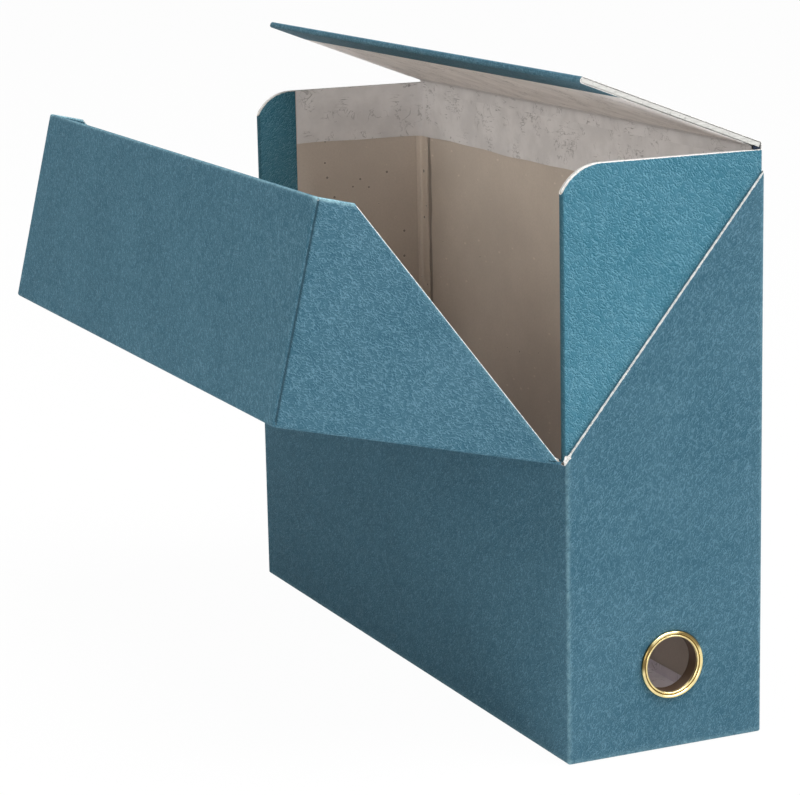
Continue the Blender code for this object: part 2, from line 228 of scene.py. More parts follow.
def patch(points, flat, flip=False, keep=None, slot=0, **marks):
    """One grid of points with its place on the flat sheet and its marks."""
    shape = points.shape[:2]
    marks = {name: np.broadcast_to(value, shape) for name, value in marks.items()}
    if flip:
        points, flat = points[::-1], flat[::-1]
        marks = {name: value[::-1] for name, value in marks.items()}
        keep = keep[::-1] if keep is not None else None
    return {"points": points, "flat": flat, "keep": keep, "marks": marks, "slot": slot}


# The crease mark is painted shade in creases, grooves, corners and on the cheeks' front edges.
# The fold mark makes paper paler at folds and rounded edges, partly for wear and partly as a painted
# highlight.
mark_names = ("fold_wear", "cut_near", "crease_dark")


def build_skin(name, patches, weld=1e-5):
    """Join grids into one mesh: every grid cell a quad, the sheet's own coordinates as its UV.

    Points that coincide are welded and the cells that collapse are dropped.
    """
    points, flats, quads, slots = [], [], [], []
    marks = {mark: [] for mark in mark_names}
    start = 0
    for item in patches:
        rows, columns = item["points"].shape[:2]
        index = start + np.arange(rows * columns).reshape(rows, columns)
        cells = np.stack([index[:-1, :-1], index[1:, :-1], index[1:, 1:], index[:-1, 1:]], axis=-1)
        cells = cells[item["keep"]] if item["keep"] is not None else cells.reshape(-1, 4)
        quads.append(cells)
        slots.append(np.full(len(cells), item["slot"]))
        points.append(item["points"].reshape(-1, 3))
        flats.append(item["flat"].reshape(-1, 2))
        for mark in mark_names:
            value = item["marks"].get(mark, 0.0)
            marks[mark].append(np.broadcast_to(value, (rows, columns)).reshape(-1))
        start += rows * columns
    points, flats = np.concatenate(points), np.concatenate(flats)
    quads, slots = np.concatenate(quads), np.concatenate(slots)
    mesh = bpy.data.meshes.new(name)
    mesh.vertices.add(len(points))
    mesh.vertices.foreach_set("co", points.astype(np.float32).ravel())
    mesh.loops.add(quads.size)
    mesh.loops.foreach_set("vertex_index", quads.astype(np.int32).ravel())
    mesh.polygons.add(len(quads))
    mesh.polygons.foreach_set("loop_start", (np.arange(len(quads)) * 4).astype(np.int32))
    mesh.polygons.foreach_set("material_index", slots.astype(np.int32))
    mesh.polygons.foreach_set("use_smooth", np.ones(len(quads), bool))
    mesh.update(calc_edges=True)
    sheet = mesh.uv_layers.new(name="sheet")
    sheet.data.foreach_set("uv", flats[quads.ravel()].astype(np.float32).ravel())
    for mark in mark_names:
        layer = mesh.attributes.new(mark, "FLOAT", "POINT")
        layer.data.foreach_set("value", np.concatenate(marks[mark]).astype(np.float32))
    shape = bmesh.new()
    shape.from_mesh(mesh)
    bmesh.ops.remove_doubles(shape, verts=shape.verts, dist=weld)
    bmesh.ops.dissolve_degenerate(shape, dist=1e-6, edges=shape.edges)
    loose = [vert for vert in shape.verts if not vert.link_faces]
    bmesh.ops.delete(shape, geom=loose, context="VERTS")
    shape.to_mesh(mesh)
    shape.free()
    obj = bpy.data.objects.new(name, mesh)
    bpy.context.scene.collection.objects.link(obj)
    return obj


def clothe(obj, face, back, edge, thickness):
    """Give a sheet its thickness, inwards, and its three finishes: face, back and cut edge."""
    obj.data.materials.clear()
    for material in (face, back, edge):
        obj.data.materials.append(material)
    solid = obj.modifiers.new("paper", "SOLIDIFY")
    solid.thickness = thickness
    solid.offset = -1.0
    solid.use_even_offset = True
    solid.use_rim = True
    solid.material_offset = 1
    solid.material_offset_rim = 2
    settle(obj)
    return obj


def settle(obj):
    """Bake the live modifiers into the mesh, and keep its cut edges crisp."""
    graph = bpy.context.evaluated_depsgraph_get()
    mesh = bpy.data.meshes.new_from_object(obj.evaluated_get(graph))
    mesh.set_sharp_from_angle(angle=math.radians(50))
    obj.modifiers.clear()
    obj.data = mesh
    return obj


def hood_to_box(x, y, z):
    """Turn hood coordinates (depth from its outer face, along, height above the fold) to the box."""
    c, s = math.cos(hood_turn), math.sin(hood_turn)
    return grid(hood_pivot[0] + c * x - s * z, y, hood_pivot[1] + s * x + c * z)


def lid_to_box(x, y, z):
    """Turn lid coordinates (forwards is -X from the crease, height above its top) to the box."""
    c, s = math.cos(lid_turn), math.sin(lid_turn)
    return grid(lid_pivot[0] + c * x + s * z, y, lid_pivot[1] - s * x + c * z)


# Finishes


class Finish:
    """A material while its nodes are being wired."""

    def __init__(self, name):
        self.material = bpy.data.materials.new(name)
        self.material.use_nodes = True
        self.tree = self.material.node_tree
        self.tree.nodes.clear()
        self.shader = self.node("ShaderNodeBsdfPrincipled")
        output = self.node("ShaderNodeOutputMaterial")
        self.tree.links.new(self.shader.outputs[0], output.inputs[0])

    def node(self, kind, sockets=None, **settings):
        """Add a node, with settings, and sockets set to values or linked to outputs."""
        made = self.tree.nodes.new(kind)
        for key, value in settings.items():
            setattr(made, key, value)
        for key, value in (sockets or {}).items():
            self.put(made.inputs[key], value)
        return made

    def put(self, socket, value):
        """Set a socket to a value, or link it to an output."""
        if isinstance(value, bpy.types.NodeSocket):
            self.tree.links.new(value, socket)
        elif isinstance(value, (tuple, list)) and len(value) == 3 and socket.type == "RGBA":
            socket.default_value = (*value, 1.0)
        else:
            socket.default_value = value

    def sheet(self):
        """Place on the flat sheet, in metres."""
        return self.node("ShaderNodeUVMap", uv_map="sheet").outputs[0]

    def place(self):
        """Place in the box, in metres."""
        return self.node("ShaderNodeTexCoord").outputs["Object"]

    def mark(self, name):
        """A mark stored in the mesh."""
        return self.node("ShaderNodeAttribute", attribute_name=name).outputs["Fac"]

    def mapped(self, vector, turn=(0.0, 0.0, 0.0), scale=(1.0, 1.0, 1.0), move=(0.0, 0.0, 0.0)):
        """A vector moved, turned and scaled."""
        sockets = {"Vector": vector, "Rotation": turn, "Scale": scale, "Location": move}
        return self.node("ShaderNodeMapping", sockets).outputs[0]

    def noise(self, vector, scale, detail=2.0, roughness=0.5, distortion=0.0):
        """Cloudy noise from 0 to 1."""
        sockets = {
            "Vector": vector, "Scale": scale, "Detail": detail, "Roughness": roughness,
            "Distortion": distortion,
        }
        return self.node("ShaderNodeTexNoise", sockets).outputs["Fac"]

    def math(self, operation, *values, clamp=False):
        """Arithmetic on values."""
        made = self.node("ShaderNodeMath", dict(enumerate(values)), operation=operation)
        made.use_clamp = clamp
        return made.outputs[0]

    def vector(self, operation, *values):
        """Arithmetic on vectors: the node itself, as some of it gives a value."""
        return self.node("ShaderNodeVectorMath", dict(enumerate(values)), operation=operation)

    def span(self, value, low, high, to_low=0.0, to_high=1.0, smooth=True):
        """Carry a value from one span to another, clamped."""
        kind = "SMOOTHSTEP" if smooth else "LINEAR"
        made = self.node("ShaderNodeMapRange", interpolation_type=kind)
        for socket, item in zip(made.inputs, (value, low, high, to_low, to_high)):
            self.put(socket, item)
        return made.outputs[0]

    def blend(self, share, low, high):
        """Mix two colours by a share."""
        made = self.node("ShaderNodeMix", data_type="RGBA")
        colours = [socket for socket in made.inputs if socket.type == "RGBA"]
        self.put(made.inputs[0], share)
        self.put(colours[0], low)
        self.put(colours[1], high)
        return [socket for socket in made.outputs if socket.type == "RGBA"][0]

    def relief(self, height, distance, strength=1.0):
        """A bump of a height given from 0 to 1 over a distance in metres."""
        sockets = {"Height": height, "Distance": distance, "Strength": strength}
        return self.node("ShaderNodeBump", sockets).outputs[0]

    def finish(self, **sockets):
        """Set the shader's sockets by name, with _ for a space."""
        for key, value in sockets.items():
            self.put(self.shader.inputs[key.replace("_", " ")], value)
        return self.material


def tinted(colour, factor):
    """A colour made lighter or darker."""
    return tuple(min(1.0, channel * factor) for channel in colour)


def strokes(work, vector, turn, seed, bare):
    """Thin raised strokes lying across the sheet at an angle.

    A stroke runs where noise stretched along the angle crosses its middle value. A second
    cloud breaks the lines: where it is under the bare share there are none.
    """
    turned = work.mapped(vector, turn=(0.0, 0.0, turn), move=(seed, seed * 0.37, 0.0))
    stretched = work.mapped(turned, scale=(400.0, 930.0, 1.0))
    field = work.noise(stretched, 1.0, detail=1.0, roughness=0.4)
    line = work.span(work.math("ABSOLUTE", work.math("SUBTRACT", field, 0.5)), 0.0, 0.062, 1.0, 0.0)
    broken = work.noise(work.mapped(turned, scale=(380.0, 700.0, 1.0)), 1.0, detail=0.0)
    return work.math("MULTIPLY", line, work.span(broken, bare - 0.07, bare + 0.07))


def emboss(work, vector, angles, bare):
    """Two families of strokes crossing at their angles, the higher one showing."""
    first = strokes(work, vector, angles[0], 0.0, bare[0])
    second = strokes(work, vector, angles[1], 3.1, bare[1])
    return work.math("MAXIMUM", first, second)


def embossed_paper(name, colour, raw, angles, bare, relief, ridge, shade):
    """Covering paper embossed with crossing strokes, paler where worn, white where torn, and painted
    with light and shade.

    A ridge is paler, partly for less ink and partly as a painted highlight; beside it one side is
    painted lit and the other painted in shade:
    tone = 1 + ridge x height + shade x (height here - height a quarter millimetre away).
    Broad clouds, the wear and painted highlight at folds, the torn fibres at cuts and the painted
    shade in creases follow.
    """
    work = Finish(name)
    sheet = work.sheet()
    height = emboss(work, sheet, angles, bare)
    aside = emboss(work, work.mapped(sheet, move=(0.00018, -0.00022, 0.0)), angles, bare)
    grain = work.noise(sheet, 2300.0, detail=2.0)
    clouds = work.noise(sheet, 26.0, detail=3.0, roughness=0.6)
    patches = work.noise(sheet, 210.0, detail=1.0)
    # Painted light and shade on the strokes: the height here less the height beside it lights one side of
    # each stroke and shades the other; ridges are paler, partly for less ink and partly as a painted
    # highlight.
    side = work.math("SUBTRACT", height, aside)
    tone = work.math("MULTIPLY_ADD", side, shade, -0.25 * ridge)
    tone = work.math("MULTIPLY_ADD", height, ridge, tone)
    tone = work.math("ADD", tone, work.span(patches, 0.3, 0.7, -0.06, 0.05))
    tone = work.math("ADD", tone, work.span(clouds, 0.3, 0.7, -0.05, 0.05))
    tone = work.math("ADD", tone, work.span(grain, 0.25, 0.75, -0.05, 0.05))
    dark, light = -0.5, 0.8
    inks = [
        tuple(max(0.004, c + t * colour[2] * part) for c, part in zip(colour, (0.53, 0.84, 1.0)))
        for t in (dark, light)
    ]
    ground = work.blend(work.span(tone, dark, light, smooth=False), *inks)
    rub = work.noise(sheet, 420.0, detail=3.0, roughness=0.7)
    # Paler at folds and rounded edges: partly rubbed wear, partly a painted highlight.
    worn = work.math("MULTIPLY", work.mark("fold_wear"), work.span(rub, 0.32, 0.66, 0.25, 1.0))
    pale = tuple(0.40 * a + 0.60 * b for a, b in zip(colour, (0.46, 0.74, 0.82)))
    ground = work.blend(worn, ground, pale)
    # Painted shade in creases.
    ground = work.blend(work.mark("crease_dark"), ground, tinted(colour, 0.26))
    fray = work.noise(sheet, 900.0, detail=3.0, roughness=0.75)
    torn = work.math("GREATER_THAN", work.math("ADD", work.mark("cut_near"),
                     work.math("MULTIPLY", work.math("SUBTRACT", fray, 0.5), 0.30)), 0.95)
    ground = work.blend(torn, ground, raw)
    rough = work.span(clouds, 0.2, 0.8, 0.50, 0.62)
    normal = work.relief(work.math("MULTIPLY_ADD", grain, 0.22, height), relief)
    return work.finish(Base_Color=ground, Roughness=rough, Normal=normal, Specular_IOR_Level=0.02)


def past_slant(work, place):
    """1 on the slanting cut of the case's ends: where the height over the slant passes it."""
    rise = math.hypot(1.0, cut_slope)
    square_to_cut = (-cut_slope / rise, 0.0, 1.0 / rise)
    across = work.vector("DOT_PRODUCT", place, square_to_cut)
    line = (cut_low + cut_slope * half_width) / rise
    return work.math("GREATER_THAN", across.outputs["Value"], line - 0.00005)


def past_round_top(work, place):
    """1 on the cheek's top: where the distance outside or above the arc's centre passes 19.8 mm."""
    parts = work.node("ShaderNodeSeparateXYZ", {0: place})
    across = work.math("MINIMUM", work.math("ADD", parts.outputs[0], -round_x), 0.0)
    above = work.math("MAXIMUM", work.math("SUBTRACT", parts.outputs[2], round_z), 0.0)
    square = work.math("MULTIPLY_ADD", across, across, work.math("MULTIPLY", above, above))
    return work.math("GREATER_THAN", square, 0.0198 ** 2)


def raw_board(name, colour, raw=None, cut=None, ply=0.0, under=(0.1, 0.1, 0.1)):
    """Greyboard: mottled pulp with dark specks, pale rims beside them, and white fibres where cut.

    A cut is white only in its outer ply, further along than the ply's place; under it it takes the
    colour given as under, which on the case's slanting cut is a painted shadow beside the white.
    """
    work = Finish(name)
    place = work.place()
    broad = work.noise(place, 14.0, detail=3.0, roughness=0.6)
    fine = work.noise(place, 950.0, detail=3.0, roughness=0.65)
    ground = work.blend(work.span(broad, 0.3, 0.7), tinted(colour, 0.93), tinted(colour, 1.07))
    pulp = work.math("MULTIPLY", work.span(fine, 0.3, 0.75), 0.22)
    ground = work.blend(pulp, ground, tinted(colour, 0.72))
    cells = work.node("ShaderNodeTexVoronoi", {"Vector": place, "Scale": 210.0})
    pick = work.node("ShaderNodeSeparateColor", {0: cells.outputs["Color"]})
    chosen = work.math("GREATER_THAN", pick.outputs[0], 0.56)
    size = work.math("MULTIPLY_ADD", pick.outputs[1], 0.15, 0.06)
    inside = work.math("SUBTRACT", size, cells.outputs["Distance"])
    speck = work.math("MULTIPLY", work.span(inside, 0.0, 0.03), chosen)
    rim = work.math("MULTIPLY", work.span(inside, -0.04, 0.0), chosen)
    ground = work.blend(work.math("MULTIPLY", rim, 0.30), ground, tinted(colour, 1.5))
    ground = work.blend(work.math("MULTIPLY", speck, 0.80), ground, tinted(colour, 0.30))
    stretched = work.mapped(place, scale=(1.0, 0.45, 1.0))
    flecks = work.node("ShaderNodeTexVoronoi", {"Vector": stretched, "Scale": 300.0})
    pick = work.node("ShaderNodeSeparateColor", {0: flecks.outputs["Color"]})
    rare = work.math("GREATER_THAN", pick.outputs[1], 0.84)
    fleck = work.math("MULTIPLY", work.span(flecks.outputs["Distance"], 0.08, 0.22, 1.0, 0.0), rare)
    ground = work.blend(work.math("MULTIPLY", fleck, 0.45), ground, tinted(colour, 1.4))
    height = work.math("SUBTRACT", fine, work.math("MULTIPLY", speck, 0.8))
    if cut is not None:
        past = cut(work, place)
        fibre = work.noise(place, 620.0, detail=4.0, roughness=0.8)
        torn = work.blend(work.span(fibre, 0.34, 0.56), tinted(raw, 0.50), raw)
        along = work.math("ABSOLUTE", work.node("ShaderNodeSeparateXYZ", {0: place}).outputs[1])
        border = work.math("MULTIPLY_ADD", work.math("SUBTRACT", fibre, 0.5), 0.0009, along)
        # Inside the ply's place the cut takes the under colour; on the case's slanting cut that is a
        # painted shadow.
        torn = work.blend(work.span(border, ply - 0.00012, ply + 0.00012), under, torn)
        ground = work.blend(past, ground, torn)
        height = work.math("ADD", height, work.math("MULTIPLY", past, fibre))
    normal = work.relief(height, 0.00012)
    return work.finish(Base_Color=ground, Roughness=0.92, Normal=normal, Specular_IOR_Level=0.02)


def side_of_lid(name, colour):
    """The bare side of the lid: pressed plies in streaks along the edge, with grey and worn bits."""
    work = Finish(name)
    place = work.place()
    plies = work.noise(work.mapped(place, scale=(60.0, 900.0, 1300.0)), 1.0, detail=3.0, roughness=0.7)
    bits = work.noise(place, 420.0, detail=3.0, roughness=0.7)
    ground = work.blend(work.span(plies, 0.3, 0.7), tinted(colour, 0.86), tinted(colour, 1.08))
    ground = work.blend(work.span(bits, 0.56, 0.72, 0.0, 0.55), ground, tinted(colour, 0.5))
    normal = work.relief(plies, 0.0002)
    return work.finish(Base_Color=ground, Roughness=0.9, Normal=normal, Specular_IOR_Level=0.02)


def mottled_lining(name, colour, coordinates="sheet"):
    """Thin lining paper: pale, a little crumpled, mottled with soft clouds and fine wandering cracks."""
    work = Finish(name)
    place = work.sheet() if coordinates == "sheet" else work.place()
    broad = work.noise(place, 55.0, detail=4.0, roughness=0.6)
    ground = work.blend(work.span(broad, 0.35, 0.65), tinted(colour, 0.91), tinted(colour, 1.04))
    veins = work.noise(place, 150.0, detail=3.0, roughness=0.6, distortion=0.8)
    vein = work.span(work.math("ABSOLUTE", work.math("SUBTRACT", veins, 0.5)), 0.0, 0.024, 1.0, 0.0)
    where = work.span(work.noise(place, 80.0, detail=1.0), 0.50, 0.60)
    veined = work.math("MULTIPLY", work.math("MULTIPLY", vein, where), 0.50)
    ground = work.blend(veined, ground, tinted(colour, 0.30))
    slanted = work.mapped(place, turn=(0.0, 0.0, 0.75), scale=(48.0, 210.0, 1.0))
    cracks = work.noise(slanted, 1.0, detail=3.0, roughness=0.65, distortion=0.5)
    crack = work.span(work.math("ABSOLUTE", work.math("SUBTRACT", cracks, 0.5)), 0.0, 0.018, 1.0, 0.0)
    there = work.span(work.noise(work.mapped(place, move=(0.4, 0.2, 0.0)), 60.0, detail=1.0), 0.54, 0.62)
    cracked = work.math("MULTIPLY", work.math("MULTIPLY", crack, there), 0.60)
    ground = work.blend(cracked, ground, tinted(colour, 0.30))
    fine = work.noise(place, 1500.0, detail=2.0)
    # Painted shade in creases and corners.
    ground = work.blend(work.math("MULTIPLY", work.mark("crease_dark"), 0.8), ground, tinted(colour, 0.45))
    # Paler at folds: partly wear, partly a painted highlight.
    ground = work.blend(work.math("MULTIPLY", work.mark("fold_wear"), 0.5), ground, tinted(colour, 1.3))
    crumple = work.math("ADD", work.math("MULTIPLY", fine, 0.25), work.noise(place, 110.0, detail=2.0))
    normal = work.relief(crumple, 0.00035)
    return work.finish(Base_Color=ground, Roughness=0.75, Normal=normal, Specular_IOR_Level=0.02)


def torn_fibre(name, colour):
    """The white edge of cut paper: fibrous and uneven."""
    work = Finish(name)
    place = work.place()
    fibre = work.noise(place, 1100.0, detail=4.0, roughness=0.8)
    ground = work.blend(work.span(fibre, 0.3, 0.6), tinted(colour, 0.6), colour)
    normal = work.relief(fibre, 0.0002)
    return work.finish(Base_Color=ground, Roughness=0.9, Normal=normal, Specular_IOR_Level=0.2)


def paper_back(name, colour):
    """The unprinted back of a paper, with dried glue."""
    work = Finish(name)
    place = work.place()
    glue = work.noise(place, 60.0, detail=4.0, roughness=0.7)
    ground = work.blend(work.span(glue, 0.3, 0.7), tinted(colour, 0.8), colour)
    normal = work.relief(glue, 0.0002)
    return work.finish(Base_Color=ground, Roughness=0.85, Normal=normal, Specular_IOR_Level=0.3)


def polished_brass(name, colour):
    """Lacquered brass with fine turning marks, with painted dark reflections on two stretches of its
    rim and along its groove, and dark and dull down the bore.

    A stretch of the rim is where the cosine of the angle between the place and the stretch's
    middle, seen from the hole's axis, is near 1.
    """
    work = Finish(name)
    place = work.place()
    tarnish = work.noise(place, 160.0, detail=4.0, roughness=0.7)
    ground = work.blend(work.span(tarnish, 0.35, 0.75), colour, tinted(colour, 0.80))
    out = work.vector("ADD", place, (-hole_x, 0.0, -hole_z)).outputs[0]
    flat = work.vector("MULTIPLY", out, (1.0, 0.0, 1.0)).outputs[0]
    radius = work.vector("LENGTH", flat).outputs["Value"]
    heading = work.vector("NORMALIZE", flat).outputs[0]
    outer = work.span(radius, 0.01300, 0.01350)
    # Two stretches of the outer rim painted dark amber: painted reflections.
    for degrees, low, high in ((54.0, 0.82, 0.94), (158.0, 0.86, 0.96)):
        middle = (math.cos(math.radians(degrees)), 0.0, math.sin(math.radians(degrees)))
        share = work.vector("DOT_PRODUCT", heading, middle).outputs["Value"]
        painted_dark_reflection = work.math("MULTIPLY", work.math("MULTIPLY", work.span(share, low, high), outer), 0.88)
        ground = work.blend(painted_dark_reflection, ground, (0.14, 0.085, 0.02))
    # A painted dark reflection along the groove between the bead and the flange.
    off_groove = work.math("ABSOLUTE", work.math("SUBTRACT", radius, 0.01287))
    groove = work.span(off_groove, 0.00008, 0.00022, 0.8, 0.0)
    ground = work.blend(groove, ground, (0.20, 0.10, 0.02))
    depth = work.node("ShaderNodeSeparateXYZ", {0: place}).outputs[1]
    bore = work.span(depth, -half_length - 0.0004, -half_length + 0.0006)
    ground = work.blend(bore, ground, (0.075, 0.045, 0.028))
    marks = work.noise(work.mapped(place, scale=(900.0, 5200.0, 900.0)), 1.0, detail=2.0)
    rough = work.math("ADD", work.span(tarnish, 0.3, 0.8, 0.12, 0.22), work.math("MULTIPLY", bore, 0.35))
    metal = work.math("MULTIPLY_ADD", bore, -0.75, 1.0)
    normal = work.relief(marks, 0.00001)
    return work.finish(Base_Color=ground, Metallic=metal, Roughness=rough, Normal=normal)


finishes = {}


def make_finishes(colours):
    """Make every finish of the box once, from the colours of the panel."""
    paper, cheek = tuple(colours.paper), tuple(colours.cheek_paper)
    raw, board, lining = tuple(colours.raw_edge), tuple(colours.board), tuple(colours.lining)
    lean = (math.radians(58), math.radians(-62))
    slope = (math.radians(48), math.radians(-45))
    steep = (math.radians(71), math.radians(-65))
    finishes.clear()
    finishes.update(
        cover=embossed_paper("cover_paper", paper, raw, lean, (0.45, 0.45), 0.00012, 0.42, 0.32),
        cheek=embossed_paper("cheek_paper", cheek, raw, slope, (0.50, 0.46), 0.00016, 0.36, 0.62),
        hood=embossed_paper(
            "hood_paper", tinted(paper, 1.04), raw, steep, (0.43, 0.45), 0.00012, 0.42, 0.34,
        ),
        back=paper_back("paper_back", (0.55, 0.56, 0.56)),
        edge=torn_fibre("torn_fibre", raw),
        board=raw_board("greyboard", board),
        # The slanting cut's under colour, a dark teal, is a painted shadow on its inner ply.
        shell_board=raw_board(
            "slant_cut_board", board, raw, past_slant, 0.16375, (0.060, 0.120, 0.150),
        ),
        # On the cheek's top the white is partly cut fibre and partly a painted highlight from the light
        # falling on it from above.
        cheek_board=raw_board(
            "cheek_top_board", board, raw, past_round_top, 0.16085, (0.50, 0.48, 0.46),
        ),
        lid_board=side_of_lid("lid_side", (0.60, 0.60, 0.575)),
        lining=mottled_lining("lining_paper", lining),
        # The lid's lining is a lighter copy of the lining paper: painted light on the lid's shaded
        # underside.
        lid_lining=mottled_lining("lid_lining_paper_lightened", (0.93, 0.905, 0.895)),
        floor_lining=mottled_lining("floor_lining_paper", (0.95, 0.90, 0.98), "place"),
        brass=polished_brass("brass", tuple(colours.brass)),
        flap=raw_board("flap_board", tinted(board, 1.12)),
        flap_edge=raw_board("flap_edge", tinted(board, 1.5)),
        # The dark board beside each flap is painted shade in the open joint.
        glue=raw_board("painted_joint_shade", tinted(board, 0.55)),
        # Near-black navy: painted shade for the gap at the end of the lid's crease.
        navy=paper_back("navy_paper", (0.018, 0.030, 0.060)),
    )


# Pieces


def slant_at(x):
    """Height of the slanting cut of the case's ends above the underside."""
    return cut_low + cut_slope * (x + half_width)


def case_cover_patches(sizes):
    """The sheet round the case.

    The plan is a rounded rectangle of half sides 46 and 165 mm; the upright profile turns
    in under the foot on a small arc. Height runs evenly up to 100 mm and from there is
    stretched to the top edge, which is level in front, slanted at the ends and level
    again behind. Round the finger hole a ring of cells runs from a square to the circle.
    """
    r = sizes.corner_radius
    a, b = half_width, half_length
    seam = 0.120
    step = 0.16245
    inner = b - r - 0.00005
    left, right = hole_x - hole_window, hole_x + hole_window
    hair = 0.00005
    corners = [
        (a, seam), (a, step - hair), (a, step), (a, b), (-a, b), (-a, inner), (-a, -inner),
        (-a, -b), (left, -b), (right, -b), (a, -b), (a, -step), (a, -step + hair), (a, seam),
    ]
    radii = [0, 0, r, r, 0, 0, r, 0, 0, r, 0, 0]
    plan, normals, along = rounded_path(corners, radii, spacing=0.005)
    outward = -normals
    x, y = plan[:, 0], plan[:, 1]
    front = (x < -a + 1e-6) & (np.abs(y) < inner + 1e-7)
    behind = (x > a - 1e-6) & (np.abs(y) < step - 0.00002)
    ends = ~(front | behind)
    slanted = slant_at(np.minimum(x, a))
    top = np.where(front, front_trim, np.where(behind, back_trim, slanted))
    top = np.where(ends & (x > a - 1e-6), cut_high, top)

    foot = sizes.foot_radius
    base = 0.00026
    turns = np.linspace(0.0, math.pi / 2, 6)
    inset = np.concatenate([[0.010, 0.006, 0.003], foot * (1 - np.sin(turns))])
    level = np.concatenate([np.full(3, base), base + foot * (1 - np.cos(turns))])
    under = np.concatenate([[-0.010, -0.006, -0.003], foot * (turns - math.pi / 2)])
    window_low, window_high, even_top = hole_z - hole_window, hole_z + hole_window, 0.100
    walls = np.concatenate([
        np.linspace(0.003, window_low, 4), np.linspace(window_low, window_high, 11)[1:],
        np.linspace(window_high, even_top, 10)[1:],
    ])
    upper = 1 - (1 - np.linspace(0.0, 1.0, 30)[1:]) ** 1.25
    rows_low = len(level) + len(walls)
    z = np.concatenate([
        np.broadcast_to(np.concatenate([level, walls]), (len(x), rows_low)),
        even_top + upper[None, :] * (top[:, None] - even_top),
    ], axis=1)
    inset = np.concatenate([inset, np.zeros(len(walls) + len(upper))])
    v = np.concatenate([np.broadcast_to(under, (len(x), len(under))), z[:, len(under):]], axis=1)

    inside = np.minimum(inset, r)
    px = x[:, None] - outward[:, :1] * inside[None, :]
    py = y[:, None] - outward[:, 1:] * inside[None, :]
    beyond = np.maximum(inset - r, 0.0)[None, :]
    px = px * (1 - beyond / (a - r))
    py = py * (1 - beyond / (b - r))
    points = grid(px, py, z)
    flat = grid(along[:, None], v)

    corner_gap = np.abs(np.abs(x) - a) + np.abs(np.abs(y) - b)
    # Paler at the upright corners and round the foot: partly wear, partly a painted highlight on the
    # rounded edges.
    wear = 0.5 * near(corner_gap, 0.0012)[:, None] + 0.5 * near(z - base, 0.0010)
    slope_share = 1 / math.hypot(1.0, cut_slope)
    gap = (top[:, None] - z) * np.where(ends, slope_share, 1.0)[:, None]
    cut = np.where(ends[:, None], np.clip(1 - gap / 0.003, 0.0, 1.0), 0.0)

    rows = np.concatenate([level, walls])
    low_row = int(np.argmin(np.abs(rows - window_low)))
    high_row = int(np.argmin(np.abs(rows - window_high)))
    on_spine = np.flatnonzero(y < -b + 1e-7)
    low_column = on_spine[np.argmin(np.abs(x[on_spine] - left))]
    high_column = on_spine[np.argmin(np.abs(x[on_spine] - right))]
    keep = np.ones((z.shape[0] - 1, z.shape[1] - 1), bool)
    keep[low_column:high_column, low_row:high_row] = False
    sheet = patch(points, flat, keep=keep, fold_wear=wear, cut_near=cut)

    columns = np.arange(low_column, high_column)
    heights = np.arange(low_row, high_row)
    ring_column = np.concatenate([
        columns, np.full(len(heights), high_column), columns[::-1] + 1,
        np.full(len(heights), low_column), columns[:1],
    ])
    ring_row = np.concatenate([
        np.full(len(columns), low_row), heights, np.full(len(columns), high_row),
        heights[::-1] + 1, [low_row],
    ])
    rim = points[ring_column, ring_row]
    rim_flat = flat[ring_column, ring_row]
    centre_flat = np.array([flat[low_column, low_row, 0] + hole_window, hole_z])
    away = rim_flat - centre_flat
    angle = np.arctan2(away[:, 1], away[:, 0])
    radius = 0.01235
    circle = radius * np.stack([np.cos(angle), np.sin(angle)], axis=-1)
    share = np.linspace(0.0, 1.0, 7)[None, :, None]
    offsets = away[:, None, :] * (1 - share) + circle[:, None, :] * share
    ring_points = grid(hole_x + offsets[..., 0], -b, hole_z + offsets[..., 1])
    ring_points[:, 0] = rim
    ring = patch(ring_points, centre_flat + offsets)
    return [sheet, ring]


def base_sheet_patches():
    """The flat sheet under the base: a rectangle with clipped corners, in rows narrowing at its ends."""
    a, b = half_width - 0.0035, half_length - 0.0035
    y = np.concatenate([[-b], np.linspace(-b + 0.004, b - 0.004, 21), [b]])
    half = np.where(np.abs(y) > b - 0.001, a - 0.004, a)
    share = np.linspace(-1.0, 1.0, 9)
    x = half[:, None] * share[None, :]
    points = grid(x, y[:, None], 0.0)
    flat = points[..., :2]
    edge = np.maximum(np.abs(share)[None, :] > 0.99, (np.abs(y) > b - 0.001)[:, None])
    return [patch(points, flat, cut_near=np.where(edge, 1.0, 0.0))]


def cheek_cover_patches(end):
    """The sheet over a cheek.

    In plan it runs from the back along the outer face, round the front edge on two arcs,
    and 20 mm back along the inside. Its top follows the cheek: level at 248 mm, and
    falling over the front 18 mm on an arc of 20 mm radius.
    """
    lip = -0.0260
    corners = [
        (0.0459, cheek_outside), (lip, cheek_outside), (-half_width, cheek_outside),
        (-half_width, cheek_inside), (lip, cheek_inside),
    ]
    plan, _, along = rounded_path(corners, [0, 0.0009, 0.0009], spacing=0.0025)
    x = plan[:, 0]
    y = end * plan[:, 1]
    across = np.minimum(x, round_x) - round_x
    arc = round_z + np.sqrt(np.clip(round_radius ** 2 - across ** 2, 0.0, None))
    top = np.where(x < round_x, arc, cheek_top)
    low = fold_height + 0.0003
    share = 1 - (1 - np.linspace(0.0, 1.0, 44)) ** 1.3
    z = low + share[None, :] * (top[:, None] - low)
    points = grid(x[:, None], y[:, None], z)
    flat = grid(along[:, None] + 0.7, z)
    gap = top[:, None] - z
    cut = np.clip(1 - gap / 0.003, 0.0, 1.0)
    # Painted shade along the front edge, which faces away from the light, where the paper turns round the
    # cheek.
    front = np.abs(x + half_width)
    crease = 0.55 * np.clip((0.0010 - front) / 0.0004, 0.0, 1.0)
    inside_cut = np.clip(1 - np.abs(along[-1] - along) / 0.003, 0.0, 1.0)
    cut = np.maximum(cut, 0.85 * inside_cut[:, None])
    return [patch(points, flat, flip=end < 0, cut_near=cut, crease_dark=crease[:, None])]


